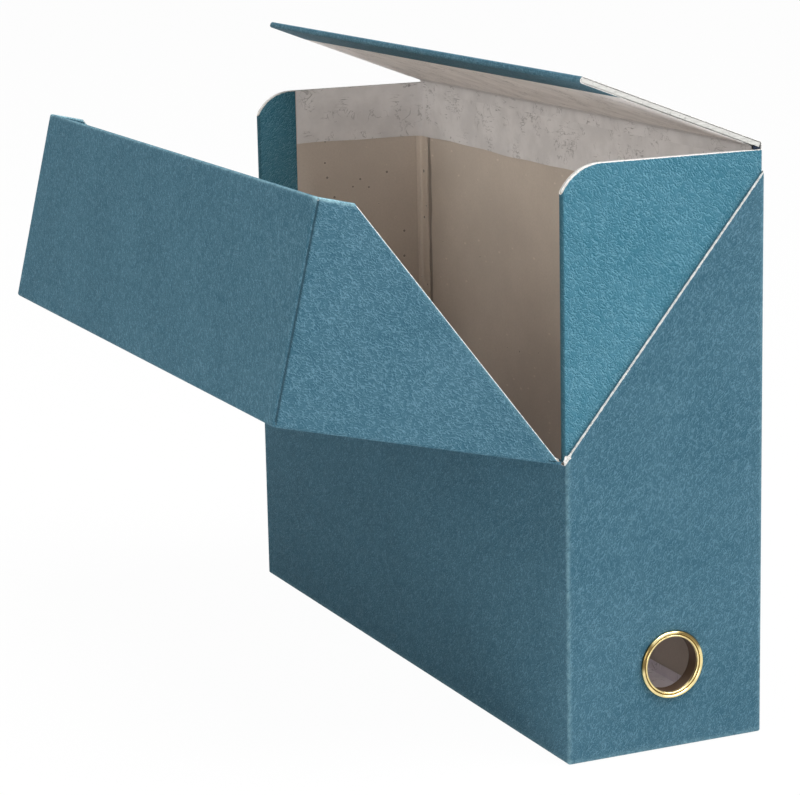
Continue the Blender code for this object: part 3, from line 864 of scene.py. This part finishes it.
def hood_sheet_patches(sizes):
    """The sheet over the hood's front and top panels.

    The profile goes up the front panel, over the top panel and round its free edge; it is
    carried along Y. Towards each end it turns onto the cheek on a quarter arc, and past
    the free edge it narrows to fit between the cheeks.
    """
    r = sizes.hood_radius
    under = hood_top - 0.0026
    corners = [
        (0.0, 0.0058), (0.0, hood_top), (hood_reach, hood_top), (hood_reach, under),
        (hood_reach - turn_in, under),
    ]
    profile, normals, along = rounded_path(corners, [0.0014, 0.0010, 0.0010], spacing=0.0045)
    x, z = profile[:, 0], profile[:, 1]
    behind = np.cumsum((x > hood_reach - 0.0011) & (z < hood_top - 0.0013))
    narrow = np.clip(behind / 3.0, 0.0, 1.0)
    reach = half_length - narrow * (half_length - 0.16255)
    swing = np.linspace(0.0, math.pi / 2, 7)
    side = np.concatenate([np.sin(swing) * r, [r]])
    drop = np.concatenate([(1 - np.cos(swing)) * r, [r + 0.0002]])
    flats = np.concatenate([swing * r, [math.pi / 2 * r + 0.0002]])
    middle = np.linspace(-1.0, 1.0, 73)[1:-1]
    core = reach[:, None] - r
    fold = (1 - narrow)[:, None]
    last = core + side[None, :]
    y = np.concatenate([-last[:, ::-1], middle[None, :] * core, last], axis=1)
    level = np.zeros((len(x), len(middle)))
    inset = np.concatenate([drop[None, ::-1] * fold, level, drop[None, :] * fold], axis=1)
    px = x[:, None] - normals[:, :1] * inset
    pz = z[:, None] - normals[:, 1:] * inset
    past = core + flats[None, :]
    spread = np.concatenate([-past[:, ::-1], middle[None, :] * core, past], axis=1)
    flat = grid(spread, along[:, None] + 1.5)
    ends = np.abs(np.abs(y) - half_length)
    # Paler at the panel fold, along the free edge and at its ends: partly wear, partly a painted highlight
    # on the rounded edges.
    wear = 0.10 * near(np.hypot(x, z - hood_top), 0.0009)[:, None]
    wear = wear + 0.60 * near(np.hypot(x - hood_reach, z - hood_top), 0.0008)[:, None]
    wear = wear + 0.80 * near(np.hypot(np.hypot(x - hood_reach, z - hood_top)[:, None], ends), 0.0022)
    lip = np.clip(1 - (along[-1] - along) / 0.003, 0.0, 1.0)
    # Painted shade where the sheet turns onto the cheeks, along the seam.
    crease = 0.75 * np.clip((inset - 0.45 * r) / (0.4 * r), 0.0, 1.0) * (x > 0.002)[:, None]
    wear = np.clip(wear, 0.0, 1.0)
    points = hood_to_box(px, y, pz)
    return [patch(points, flat, fold_wear=wear, cut_near=lip[:, None], crease_dark=crease)]


def hood_slant(x):
    """Height of the board's slanting edge of the hood above its fold."""
    slope = (hood_top - hood_tail - hood_toe) / (hood_reach - 0.0005)
    return hood_toe + slope * (x - 0.0005), slope


def hood_cheek_patches(end, sizes):
    """The sheet over a cheek of the hood.

    The face is a grid between the panels' edges and the free edge, pressed into a groove
    beside the panels: depth = groove depth times sin squared across the groove width. A
    bead is carried along the slanting edge and the short tail edge, round the board, to
    the inside. A quarter arc wraps the corner beside the fold.
    """
    r = sizes.hood_radius
    bead = 0.0008
    start = r + 0.0002
    _, slope = hood_slant(0.0)
    rise = math.hypot(1.0, slope)
    out = np.array([slope, -1.0]) / rise
    proud = 0.0003

    def edge_at(x, inward):
        """Height of the covered slanting edge at a depth, moved inwards by a distance."""
        return hood_slant(x)[0] + (inward - proud) * rise

    first = np.array([0.0, 0.2, 0.4, 0.65, 0.9, 1.2]) / 0.9 * sizes.groove_width
    right = hood_reach - bead
    x = np.concatenate([
        start + first, np.linspace(start + 0.004, right - 0.003, 24),
        [right - 0.0015, right - 0.0008, right],
    ])
    height = hood_top - start - edge_at(x, bead)
    share = np.linspace(0.0, 1.0, 32)[1:]
    near_top = np.broadcast_to(first, (len(x), len(first)))
    fit = np.minimum(1.0, (height / 0.004))[:, None]
    groove_end = first[-1] * fit
    below = groove_end + share[None, :] * (height[:, None] - groove_end)
    down = np.concatenate([near_top * fit, below], axis=1)
    z = hood_top - start - down[:, ::-1]
    xx = np.broadcast_to(x[:, None], z.shape)
    from_panel = hood_top - start - z
    groove = np.sin(np.pi * np.clip(from_panel / sizes.groove_width, 0.0, 1.0)) ** 2
    y = half_length - sizes.groove_depth * groove
    tail = hood_reach - xx
    slant_gap = (z - edge_at(xx, 0.0)) / rise
    # Paler at the tail edge and along the slanting edge: partly wear, partly a painted highlight on the
    # rounded edges.
    wear = np.clip(1.9 - tail / 0.0009, 0.0, 1.0) + 1.0 * near(slant_gap, 0.0006)
    flat = np.stack([xx + 2.4, z], axis=-1)
    # The face is darkened in the groove beside the panels: painted shade.
    face = patch(
        hood_to_box(xx, end * y, z), flat, flip=end > 0, fold_wear=np.clip(wear, 0.0, 1.0),
        crease_dark=0.85 * np.clip(1.0 - from_panel / 0.0009, 0.0, 1.0),
    )

    corner = (right, edge_at(right, bead))
    begin = (start, edge_at(start, bead))
    around = np.concatenate([np.linspace(0.0, 1.0, 30)[:-1], [0.996]])
    slant_run = np.array(begin) + around[:, None] * (np.array(corner) - np.array(begin))
    up_tail = np.array([0.0, 0.0006, 0.004, 0.008, 0.012, hood_top - start - corner[1]])
    tail_run = np.array(corner) + grid(0.0, up_tail)
    run = np.concatenate([slant_run, tail_run])
    straight = np.array([1.0, 0.0])
    outs = np.concatenate([
        np.broadcast_to(out, slant_run.shape), np.broadcast_to(straight, tail_run.shape),
    ])
    outs[len(slant_run)] = (out + straight) / (1 + out @ straight)
    swing = np.linspace(0.0, math.pi / 2, 6)
    thickness = 0.0022
    beyond = np.concatenate([bead * np.sin(swing), bead * np.cos(swing), [-0.003, -0.007]])
    depth = np.concatenate([
        bead * (1 - np.cos(swing)), thickness - bead * (1 - np.sin(swing)), [thickness, thickness],
    ])
    px = run[:, :1] + outs[:, :1] * beyond[None, :]
    pz = run[:, 1:] + outs[:, 1:] * beyond[None, :]
    inner = beyond < -0.001
    px = np.where(inner[None, :], np.maximum(px, 0.0026), px)
    pz = np.where(inner[None, :], np.minimum(pz, hood_top - 0.0030), pz)
    py = np.broadcast_to(half_length - depth, px.shape)
    around_edge = np.concatenate([[0.0], np.cumsum(np.hypot(np.diff(beyond), np.diff(depth)))])
    flat = np.stack([px + 2.4, pz], axis=-1)
    flat[..., 1] -= (np.maximum(around_edge - bead, 0.0))[None, :]
    on_tail = (np.arange(len(run)) >= len(slant_run))[:, None]
    outside = depth < 0.0012
    wide = np.where(on_tail, 0.0016, 0.0007)
    # Paler over the crest of the bead: partly wear, partly a painted highlight.
    crest_wear_and_highlight = np.where(on_tail, 1.0, 0.85)
    from_crest = np.maximum(beyond.max() - beyond, 0.0)[None, :] * outside
    wear = crest_wear_and_highlight * near(from_crest, wide) * (depth < 0.0022)
    crest = (beyond > 0.5 * bead) * outside * ~on_tail
    points = hood_to_box(px, end * py, pz)
    binding = patch(points, flat, flip=end < 0, fold_wear=wear, cut_near=0.97 * crest)

    swing = np.linspace(0.0, math.pi / 2, 7)
    cy = np.concatenate([[half_length - r - 0.0003], half_length - r + r * np.sin(swing), [half_length]])
    cx = np.concatenate([[0.0], r * (1 - np.cos(swing)), [r + 0.0005]])
    cz = np.array([0.0002, 0.0012, 0.0030, 0.0060])
    wrap = hood_to_box(cx, end * cy, cz[:, None])
    flat = grid(cx + cy, cz[:, None])
    return [face, binding, patch(wrap, flat, flip=end < 0)]


def lid_cover_patches():
    """The sheet over the lid: a profile from the lip under the free edge, round it, to the crease."""
    corners = [
        (turn_in - lid_reach, lid_under), (-lid_reach, lid_under), (-lid_reach, 0.0),
        (lid_start, 0.0),
    ]
    profile, _, along = rounded_path(corners, [0.0011, 0.0011], spacing=0.005)
    x, z = profile[:, 0], profile[:, 1]
    y = lid_half_length * np.concatenate([
        [-1.0, -0.9995, -0.998, -0.99], np.linspace(-0.975, 0.975, 61), [0.99, 0.998, 0.9995, 1.0],
    ])
    points = lid_to_box(x[:, None], y[None, :], z[:, None])
    flat = grid(along[:, None] + 3.3, y[None, :])
    side = np.clip(1 - (lid_half_length - np.abs(y)) / 0.003, 0.0, 1.0)[None, :]
    lip = np.clip(1 - along / 0.003, 0.0, 1.0)[:, None] * 0.9
    # Paler at the top of the free edge, partly wear and partly a painted highlight, and a little paler
    # over the lip underneath.
    wear = 0.25 * near(np.hypot(x + lid_reach - 0.0006, z), 0.0005) + 0.11 * (z < 0.6 * lid_under)
    return [patch(points, flat, fold_wear=wear[:, None], cut_near=np.maximum(side, lip))]


def lid_lining_patches():
    """The lining under the lid, from the crease to the lip of the covering, faintly drummed."""
    x = np.linspace(lid_start, turn_in - lid_reach + 0.00025, 22)
    y = np.linspace(-lid_half_length + 0.0004, lid_half_length - 0.0004, 70)
    xx, yy = np.meshgrid(x, y, indexing="ij")
    z = lid_under + 0.00004 * np.sin(yy * 95.0) * np.sin((xx - lid_start) * 52.0)
    return [patch(lid_to_box(xx, yy, z), grid(xx, yy))]


def hood_fold_patches():
    """The paper hinge of the hood: up the low front wall, out over the crease, onto the hood."""
    end = 0.0060
    c, s = math.cos(hood_turn), math.sin(hood_turn)
    corners = [
        (-half_width, front_trim), (-half_width, 0.1266), (-0.0481, 0.12735),
        (hood_pivot[0] - s * end, hood_pivot[1] + c * end),
    ]
    profile, _, along = rounded_path(corners, [0.0009, 0.0010], spacing=0.0006)
    reach = half_length - 0.00125
    y = np.concatenate([
        [-reach, -reach + 0.0008], np.linspace(-reach + 0.003, reach - 0.003, 60),
        [reach - 0.0008, reach],
    ])
    points = grid(profile[:, :1], y[None, :], profile[:, 1:])
    flat = grid(-y[None, :], along[:, None] + front_trim)
    wear = 0.4 * near(np.hypot(profile[:, 0] + half_width, profile[:, 1] - 0.1268), 0.0006)
    return [patch(points, flat, fold_wear=wear[:, None])]


def wall_lap_patches():
    """The lap of covering paper over the top of the low front wall and 4 mm down its inside."""
    corners = [(-0.04545, 0.12742), (-0.04330, 0.12742), (-0.04330, 0.1235)]
    profile, _, along = rounded_path(corners, [0.0003], spacing=0.0008)
    y = np.linspace(-crease_reach, crease_reach, 60)
    points = grid(profile[:, :1], y[None, :], profile[:, 1:])
    return [patch(points, grid(y[None, :], along[:, None]))]


def lid_crease_patches():
    """The paper hinge of the lid outside: up the back wall, over the crease, onto the lid."""
    c, s = math.cos(lid_turn), math.sin(lid_turn)
    on_lid = (lid_pivot[0] + c * lid_start, lid_pivot[1] - s * lid_start)
    corners = [on_lid, lid_pivot, (lid_pivot[0], back_trim)]
    profile, _, along = rounded_path(corners, [0.0008], spacing=0.0008)
    y = np.linspace(-lid_half_length, lid_half_length, 60)
    points = grid(profile[:, :1], y[None, :], profile[:, 1:])
    return [patch(points, grid(y[None, :], -along[:, None]))]


def lining_crease_patches():
    """The lining across the lid's crease: up from the band on the back wall, onto the lid."""
    c, s = math.cos(lid_turn), math.sin(lid_turn)

    def on_lid(x, z):
        return (lid_pivot[0] + c * x + s * z, lid_pivot[1] - s * x + c * z)

    far = on_lid(lid_start, lid_under)
    base = on_lid(-0.0005, lid_under)
    share = (lining_face - base[0]) / (far[0] - base[0])
    bend = (lining_face, base[1] + share * (far[1] - base[1]))
    corners = [(lining_face, lining_trim), bend, far]
    profile, _, along = rounded_path(corners, [0.0012], spacing=0.0008)
    y = np.linspace(-crease_reach, crease_reach, 60)
    points = grid(profile[:, :1], y[None, :], profile[:, 1:])
    flat = grid(y[None, :], along[:, None] + lining_trim)
    from_bend = np.hypot(profile[:, 0] - lining_face, profile[:, 1] - bend[1])
    # Painted shade along the bend.
    return [patch(points, flat, crease_dark=0.25 * near(from_bend, 0.0015)[:, None])]


def lining_band_patches():
    """The lining band round the top of the inside: rear cheek, back wall and spine cheek in one strip.

    In plan it turns the two corners on soft arcs. Its lower edge waves a little.
    """
    inside, wall = cheek_inside, lining_face
    split, hair, lip = 0.1570, 0.00005, -0.02575
    corners = [
        (lip, -inside), (wall, -inside), (wall, -split - hair), (wall, -split), (wall, split),
        (wall, split + hair), (wall, inside), (lip, inside),
    ]
    plan, _, along = rounded_path(corners, [0.0024, 0, 0, 0, 0, 0.0024], spacing=0.005)
    x, y = plan[:, 0], plan[:, 1]
    under_crease = (x > wall - 1e-6) & (np.abs(y) < split + 0.00001)
    top = np.where(under_crease, lining_trim, cheek_top)
    low = 0.2212 + 0.00025 * np.sin(along * 61.0) + 0.00018 * np.sin(along * 143.0 + 1.0)
    share = np.linspace(0.0, 1.0, 14)
    z = low[:, None] + share[None, :] * (top - low)[:, None]
    points = grid(x[:, None], y[:, None], z)
    flat = grid(along[:, None] + 0.9, z)
    corner = np.hypot(x - wall, np.abs(y) - inside)
    # Painted shade in the two corners.
    return [patch(points, flat, flip=True, crease_dark=0.22 * near(corner, 0.0020)[:, None])]


def corner_flap_patches(end):
    """The folded flap of the cheek's board, lapped 7 mm onto the back wall, with a wavy torn edge."""
    wall, inside = 0.0432, 0.1598
    z = np.linspace(0.0080, 0.2208, 120)
    wave = 0.00025 * np.sin(z * 310.0) + 0.0002 * np.sin(z * 790.0 + 2.0) + 0.0003 * np.sin(z * 95.0)
    thick = 0.00055
    lap = 0.0072
    corners = [
        (wall - 0.0030, inside - thick * 0.3), (wall - thick, inside - thick),
        (wall - thick, inside - lap), (wall, inside - 0.0073),
    ]
    plan, _, along = rounded_path(corners, [0.0012, 0.0003], spacing=0.0008)
    share = np.clip((inside - plan[:, 1]) / lap, 0.0, 1.0) ** 2
    y = end * (plan[:, 1:] - share[:, None] * wave[None, :])
    points = grid(plan[:, :1], y, z[None, :])
    flat = grid(along[:, None], z[None, :])
    return [patch(points, flat, flip=end < 0)]


def corner_groove_patches(end):
    """The open joint beside the flap: a narrow dark strip with wandering edges, painted shade in the
    joint.
    """
    wall, inside = 0.0434, 0.1598
    z = np.linspace(0.0080, 0.2208, 120)
    centre = inside - 0.0088 + 0.0003 * np.sin(z * 88.0) + 0.0002 * np.sin(z * 330.0)
    half = 0.0013 + 0.0004 * np.sin(z * 205.0 + 1.0) * np.sin(z * 47.0)
    share = np.linspace(-1.0, 1.0, 5)
    y = end * (centre[None, :] - share[:, None] * half[None, :])
    points = grid(wall, y, z[None, :])
    flat = grid(y, z[None, :])
    return [patch(points, flat, flip=end < 0)]


def crumpled_bit(centre, radius, along, across, facing):
    """A crumpled bit of paper round a centre.

    Radius = given radius x (1 + waves of three, five and eight lobes); it stands off its
    plane by waves that grow towards the rim.
    """
    angle = np.linspace(0.0, 2 * math.pi, 73)[:, None]
    share = np.linspace(0.0, 1.0, 12)[None, :]
    waves = 1 + 0.20 * np.sin(3 * angle + 0.6) + 0.13 * np.sin(5 * angle + 2.1)
    rim = radius * (waves + 0.09 * np.sin(8 * angle))
    out = rim * share
    stand = 0.45 * np.sin(3 * angle + 4.0 * share) + 0.30 * np.sin(7 * angle - 6.0 * share)
    stand = radius * (stand * share + 0.15)
    points = np.asarray(centre) + (out * np.cos(angle))[..., None] * np.array(along)
    points = points + (out * np.sin(angle))[..., None] * np.array(across)
    points = points + stand[..., None] * np.array(facing)
    flat = grid(out * np.cos(angle), out * np.sin(angle))
    return [patch(points, flat)]


def turned(name, profile, segments=144):
    """A section of (radius, depth) points turned once round the axis of the finger hole."""
    angle = np.linspace(0.0, 2 * math.pi, segments + 1)
    radius, depth = profile[:, 0], profile[:, 1]
    x = hole_x + radius[None, :] * np.cos(angle)[:, None]
    z = hole_z + radius[None, :] * np.sin(angle)[:, None]
    points = grid(x, depth[None, :] - half_length, z)
    along = np.concatenate([[0.0], np.cumsum(np.linalg.norm(np.diff(profile, axis=0), axis=1))])
    flat = grid(angle[:, None] * 0.013, along[None, :])
    return build_skin(name, [patch(points, flat)], weld=1e-7)


def eyelet_section():
    """Closed section of the eyelet, counter-clockwise as (radius, depth).

    Up the bore, over a small bead at the mouth, a fine groove, and the broad rolled flange,
    then back along the hollow side and the barrel to the curl behind.
    """
    swing = np.linspace(0.0, math.pi, 17)
    bead = np.stack([0.01235 - 0.00045 * np.cos(swing), -0.00062 - 0.00048 * np.sin(swing)], axis=1)
    flange = np.stack([0.01378 - 0.00082 * np.cos(swing), -0.00034 - 0.00122 * np.sin(swing)], axis=1)
    hollow = np.array([
        [0.01452, -0.00030], [0.01400, -0.00055], [0.01300, -0.00042], [0.01240, -0.00030],
        [0.01238, 0.00560],
    ])
    curl = np.array([
        [0.01325, 0.00605], [0.01320, 0.00640], [0.01285, 0.00668], [0.01235, 0.00675],
        [0.01200, 0.00650],
    ])
    start = np.array([[0.01190, 0.00600]])
    return np.concatenate([start, bead, flange, hollow, curl, start])


def make_sheet(operator, name, patches, face, thickness, back="back", edge="edge"):
    """Build a sheet with its finishes and its thickness, or stop with a message."""
    obj = build_skin(name, patches)
    if not obj.data.polygons:
        raise RuntimeError(f"{operator.bl_label}: {name} came out empty")
    return clothe(obj, finishes[face], finishes[back], finishes[edge], thickness)


class BOX_OT_case_cover(bpy.types.Operator):
    """Wrap the case in its covering sheet and put the sheet under its base"""

    bl_idname = "archive_box.case_cover"
    bl_label = "Cover the case"

    def execute(self, context):
        sizes = context.scene.archive_box_sizes
        cover = make_sheet(
            self, "case_cover", case_cover_patches(sizes), "cover",
            sizes.cover_thickness,
        )
        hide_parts("shell_cover_paper")
        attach(cover, "case")
        sheet = make_sheet(
            self, "base_sheet", base_sheet_patches(), "cover",
            thin_paper,
        )
        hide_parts("base_cover_paper")
        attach(sheet, "case")
        foot = (-half_width - 0.0001, -half_length - 0.00062, cut_low + 0.0009)
        lap = make_sheet(self, "wall_lap", wall_lap_patches(), "cover", thin_paper)
        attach(lap, "case")
        torn = crumpled_bit(foot, 0.0017, (0.86, -0.12, 1.02), (0.50, 0.0, -0.42), (-0.20, -0.42, 0.15))
        bit = make_sheet(self, "torn_corner", torn, "edge", 0.00015, back="edge")
        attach(bit, "case")
        return {"FINISHED"}


class BOX_OT_cheek_covers(bpy.types.Operator):
    """Cover the two full-height cheeks and turn the paper in at their front edges"""

    bl_idname = "archive_box.cheek_covers"
    bl_label = "Cover the cheeks"

    def execute(self, context):
        sizes = context.scene.archive_box_sizes
        for end, side in ((-1, "spine"), (1, "rear")):
            cover = make_sheet(
                self, f"{side}_cheek_cover", cheek_cover_patches(end), "cheek",
                sizes.cover_thickness,
            )
            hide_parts(f"{side}_cheek_paper")
            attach(cover, "case")
        return {"FINISHED"}


class BOX_OT_lining(bpy.types.Operator):
    """Line the top of the inside, and make the corner flaps with a strip of painted shade beside each"""

    bl_idname = "archive_box.lining"
    bl_label = "Line the case"

    def execute(self, context):
        band = make_sheet(
            self, "lining_band", lining_band_patches(), "lining",
            thin_paper, edge="lining",
        )
        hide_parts("back_lining_band", "rear_lining_band", "spine_lining_band")
        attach(band, "case")
        for end, side in ((-1, "spine"), (1, "rear")):
            flap = make_sheet(
                self, f"{side}_corner_flap", corner_flap_patches(end), "flap",
                thin_paper, back="flap", edge="flap_edge",
            )
            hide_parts(f"{side}_corner_tape")
            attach(flap, "case")
            # A dark strip in the joint beside the flap: painted shade.
            groove = make_sheet(
                self, f"{side}_joint_shade_line", corner_groove_patches(end), "glue",
                0.00005, back="glue", edge="glue",
            )
            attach(groove, "case")
        return {"FINISHED"}


class BOX_OT_hood_cover(bpy.types.Operator):
    """Cover the hood's panels and its two slanting cheeks"""

    bl_idname = "archive_box.hood_cover"
    bl_label = "Cover the hood"

    def execute(self, context):
        sizes = context.scene.archive_box_sizes
        sheet = make_sheet(
            self, "hood_sheet", hood_sheet_patches(sizes), "hood",
            sizes.cover_thickness,
        )
        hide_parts("hood_cover_paper")
        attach(sheet, "hood")
        for end, side in ((-1, "spine"), (1, "rear")):
            cheek = make_sheet(
                self, f"hood_{side}_cover", hood_cheek_patches(end, sizes), "hood",
                0.0001,
            )
            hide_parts(f"hood_{side}_paper")
            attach(cheek, "hood")
        return {"FINISHED"}


class BOX_OT_lid_cover(bpy.types.Operator):
    """Cover the lid and line it underneath"""

    bl_idname = "archive_box.lid_cover"
    bl_label = "Cover the lid"

    def execute(self, context):
        sizes = context.scene.archive_box_sizes
        cover = make_sheet(
            self, "lid_cover", lid_cover_patches(), "cover",
            sizes.cover_thickness,
        )
        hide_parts("lid_cover_paper")
        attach(cover, "lid")
        lining = make_sheet(
            self, "lid_lining_sheet", lid_lining_patches(), "lid_lining",
            thin_paper,
        )
        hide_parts("lid_lining")
        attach(lining, "lid")
        return {"FINISHED"}


class BOX_OT_creases(bpy.types.Operator):
    """Make the paper hinges of the hood and the lid"""

    bl_idname = "archive_box.creases"
    bl_label = "Hinge the hood and the lid"

    def execute(self, context):
        fold = make_sheet(
            self, "hood_fold", hood_fold_patches(), "cover",
            thin_paper, edge="cover",
        )
        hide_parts("hood_fold_ply")
        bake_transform(fold)
        # A near-black crumpled bit at the end of the lid's crease: painted shade in the gap under the
        # crease.
        corner = (half_width - 0.0026, -lid_half_length + 0.0005, cheek_top + 0.0010)
        dark = crumpled_bit(corner, 0.0014, (1.1, 0.0, -0.3), (0.2, 0.0, 0.7), (0.0, -0.4, 0.1))
        bit = make_sheet(
            self, "crease_end_shade", dark, "navy", 0.0001, back="navy", edge="navy",
        )
        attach(bit, "case")
        crease = make_sheet(
            self, "lid_crease", lid_crease_patches(), "cover",
            thin_paper,
        )
        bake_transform(crease)
        inner = make_sheet(
            self, "lining_crease", lining_crease_patches(), "lining",
            thin_paper, edge="lining",
        )
        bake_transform(inner)
        return {"FINISHED"}


class BOX_OT_eyelet(bpy.types.Operator):
    """Turn the brass eyelet of the finger hole, and give the washer behind it brass"""

    bl_idname = "archive_box.eyelet"
    bl_label = "Set the eyelet"

    def execute(self, context):
        eyelet = turned("brass_eyelet", eyelet_section())
        eyelet.data.materials.append(finishes["brass"])
        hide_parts("finger_eyelet")
        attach(eyelet, "case")
        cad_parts["eyelet_washer"].data.materials.clear()
        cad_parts["eyelet_washer"].data.materials.append(finishes["brass"])
        return {"FINISHED"}


class BOX_OT_boards(bpy.types.Operator):
    """Give the bare boards their greyboard, with white fibres where they are cut"""

    bl_idname = "archive_box.boards"
    bl_label = "Finish the boards"

    def execute(self, context):
        kinds = {
            "spine_shell_board": "shell_board", "rear_shell_board": "shell_board",
            "spine_cheek_board": "cheek_board", "rear_cheek_board": "cheek_board",
            "lid_board": "lid_board", "floor_lining": "floor_lining",
        }
        for name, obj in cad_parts.items():
            if name.endswith("_board") or name in kinds:
                for material in obj.material_slots:
                    material.material = finishes[kinds.get(name, "board")]
        return {"FINISHED"}


class BOX_OT_stage(bpy.types.Operator):
    """Lay the floor, set the lamps and stand the camera"""

    bl_idname = "archive_box.stage"
    bl_label = "Set the stage"

    def execute(self, context):
        scene = context.scene
        scene.view_settings.view_transform = "Standard"
        lay_floor()
        light_world(scene)
        soft_lamp("key_lamp", (1.50, -1.40, 2.00), (1.4, 1.4), 42.0)
        soft_lamp("top_lamp", (0.10, -0.90, 2.60), (1.6, 1.6), 68.0)
        soft_lamp("left_lamp", (-2.00, -1.60, 0.75), (1.4, 1.0), 17.0, (1.0, 0.96, 0.92))
        soft_lamp("far_left_lamp", (-2.20, 1.00, 1.30), (1.4, 1.4), 12.0, (1.0, 0.96, 0.92))
        soft_lamp("high_left_lamp", (-1.00, 0.10, 2.50), (1.4, 1.4), 9.5, (1.0, 0.96, 0.92))
        stand_camera(scene)
        return {"FINISHED"}


def lay_floor():
    """A pale level floor, a grid whose cells widen away from the box."""
    share = np.linspace(-1.0, 1.0, 21)
    run = np.sign(share) * np.abs(share) ** 2 * 6.0
    x, y = np.meshgrid(run, run, indexing="ij")
    points = grid(x, y, -0.0002)
    floor = build_skin("pale_floor", [patch(points, points[..., :2])])
    work = Finish("pale_floor")
    work.finish(Base_Color=(0.86, 0.86, 0.86), Roughness=0.9)
    seen = work.node("ShaderNodeLightPath")
    bare = work.math("MAXIMUM", seen.outputs["Is Camera Ray"], seen.outputs["Is Glossy Ray"])
    bare = work.math("MAXIMUM", bare, seen.outputs["Is Transmission Ray"])
    white = work.node("ShaderNodeEmission", {"Color": (1.0, 1.0, 1.0), "Strength": 1.0})
    shown = work.math("MULTIPLY", bare, 0.975)
    sockets = {0: shown, 1: work.shader.outputs[0], 2: white.outputs[0]}
    mix = work.node("ShaderNodeMixShader", sockets)
    output = next(node for node in work.tree.nodes if node.type == "OUTPUT_MATERIAL")
    work.tree.links.new(mix.outputs[0], output.inputs[0])
    floor.data.materials.append(work.material)


def light_world(scene):
    """A weak grey surround that shows as white to the camera and in reflections."""
    world = bpy.data.worlds.new("studio")
    scene.world = world
    world.use_nodes = True
    tree = world.node_tree
    tree.nodes.clear()
    path = tree.nodes.new("ShaderNodeLightPath")
    seen = path.outputs["Is Camera Ray"]
    for other in ("Is Glossy Ray", "Is Transmission Ray"):
        most = tree.nodes.new("ShaderNodeMath")
        most.operation = "MAXIMUM"
        tree.links.new(seen, most.inputs[0])
        tree.links.new(path.outputs[other], most.inputs[1])
        seen = most.outputs[0]
    dim = tree.nodes.new("ShaderNodeBackground")
    dim.inputs["Color"].default_value = (0.94, 0.97, 1.0, 1.0)
    dim.inputs["Strength"].default_value = 0.054
    white = tree.nodes.new("ShaderNodeBackground")
    white.inputs["Color"].default_value = (1.0, 1.0, 1.0, 1.0)
    white.inputs["Strength"].default_value = 1.0
    mix = tree.nodes.new("ShaderNodeMixShader")
    tree.links.new(seen, mix.inputs[0])
    tree.links.new(dim.outputs[0], mix.inputs[1])
    tree.links.new(white.outputs[0], mix.inputs[2])
    output = tree.nodes.new("ShaderNodeOutputWorld")
    tree.links.new(mix.outputs[0], output.inputs[0])


def soft_lamp(name, place, size, power, colour=(1.0, 1.0, 1.0)):
    """A rectangular soft lamp aimed at the middle of the box."""
    lamp = bpy.data.lights.new(name, "AREA")
    lamp.shape = "RECTANGLE"
    lamp.size, lamp.size_y = size
    lamp.energy = power
    lamp.color = colour
    obj = bpy.data.objects.new(name, lamp)
    aim = Vector((0.0, 0.0, 0.14)) - Vector(place)
    obj.matrix_world = Matrix.Translation(place) @ aim.to_track_quat("-Z", "Y").to_matrix().to_4x4()
    bpy.context.scene.collection.objects.link(obj)


def stand_camera(scene):
    """The camera where the photograph was taken from."""
    yaw, pitch, roll = (math.radians(degrees) for degrees in camera_turns)
    ahead = Vector((math.sin(yaw) * math.cos(pitch), math.cos(yaw) * math.cos(pitch), -math.sin(pitch)))
    right = Vector((math.cos(yaw), -math.sin(yaw), 0.0))
    up = right.cross(ahead)
    across = math.cos(roll) * right + math.sin(roll) * up
    upward = -math.sin(roll) * right + math.cos(roll) * up
    camera = bpy.data.cameras.new("camera")
    camera.sensor_width = 36.0
    camera.lens = camera_lens
    obj = bpy.data.objects.new("camera", camera)
    turn = Matrix((across, upward, -ahead)).transposed().to_4x4()
    obj.matrix_world = Matrix.Translation(camera_place) @ turn
    scene.collection.objects.link(obj)
    scene.camera = obj


class BOX_PT_panel(bpy.types.Panel):
    """Lists the steps of dressing the box"""

    bl_idname = "BOX_PT_panel"
    bl_label = "Archive box"
    bl_space_type = "VIEW_3D"
    bl_region_type = "UI"
    bl_category = "Archive box"

    def draw(self, context):
        sizes, colours = context.scene.archive_box_sizes, context.scene.archive_box_colours
        for group in (sizes, colours):
            column = self.layout.column(align=True)
            for name in group.bl_rna.properties.keys():
                if name not in ("rna_type", "name"):
                    column.prop(group, name)
        for operator in operators:
            self.layout.operator(operator.bl_idname)


operators = (
    BOX_OT_case_cover, BOX_OT_cheek_covers, BOX_OT_lining, BOX_OT_hood_cover, BOX_OT_lid_cover,
    BOX_OT_creases, BOX_OT_eyelet, BOX_OT_boards, BOX_OT_stage,
)
classes = (BoxSizes, BoxColours, *operators, BOX_PT_panel)


def register():
    for item in classes:
        bpy.utils.register_class(item)
    bpy.types.Scene.archive_box_sizes = PointerProperty(type=BoxSizes)
    bpy.types.Scene.archive_box_colours = PointerProperty(type=BoxColours)


def unregister():
    del bpy.types.Scene.archive_box_colours
    del bpy.types.Scene.archive_box_sizes
    for item in reversed(classes):
        bpy.utils.unregister_class(item)


def main():
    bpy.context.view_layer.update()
    register()
    colours = bpy.context.scene.archive_box_colours
    make_finishes(colours)
    bpy.ops.archive_box.case_cover()
    bpy.ops.archive_box.cheek_covers()
    bpy.ops.archive_box.lining()
    bpy.ops.archive_box.hood_cover()
    bpy.ops.archive_box.lid_cover()
    bpy.ops.archive_box.creases()
    bpy.ops.archive_box.eyelet()
    bpy.ops.archive_box.boards()
    bpy.ops.archive_box.stage()


if __name__ == "__main__":
    main()
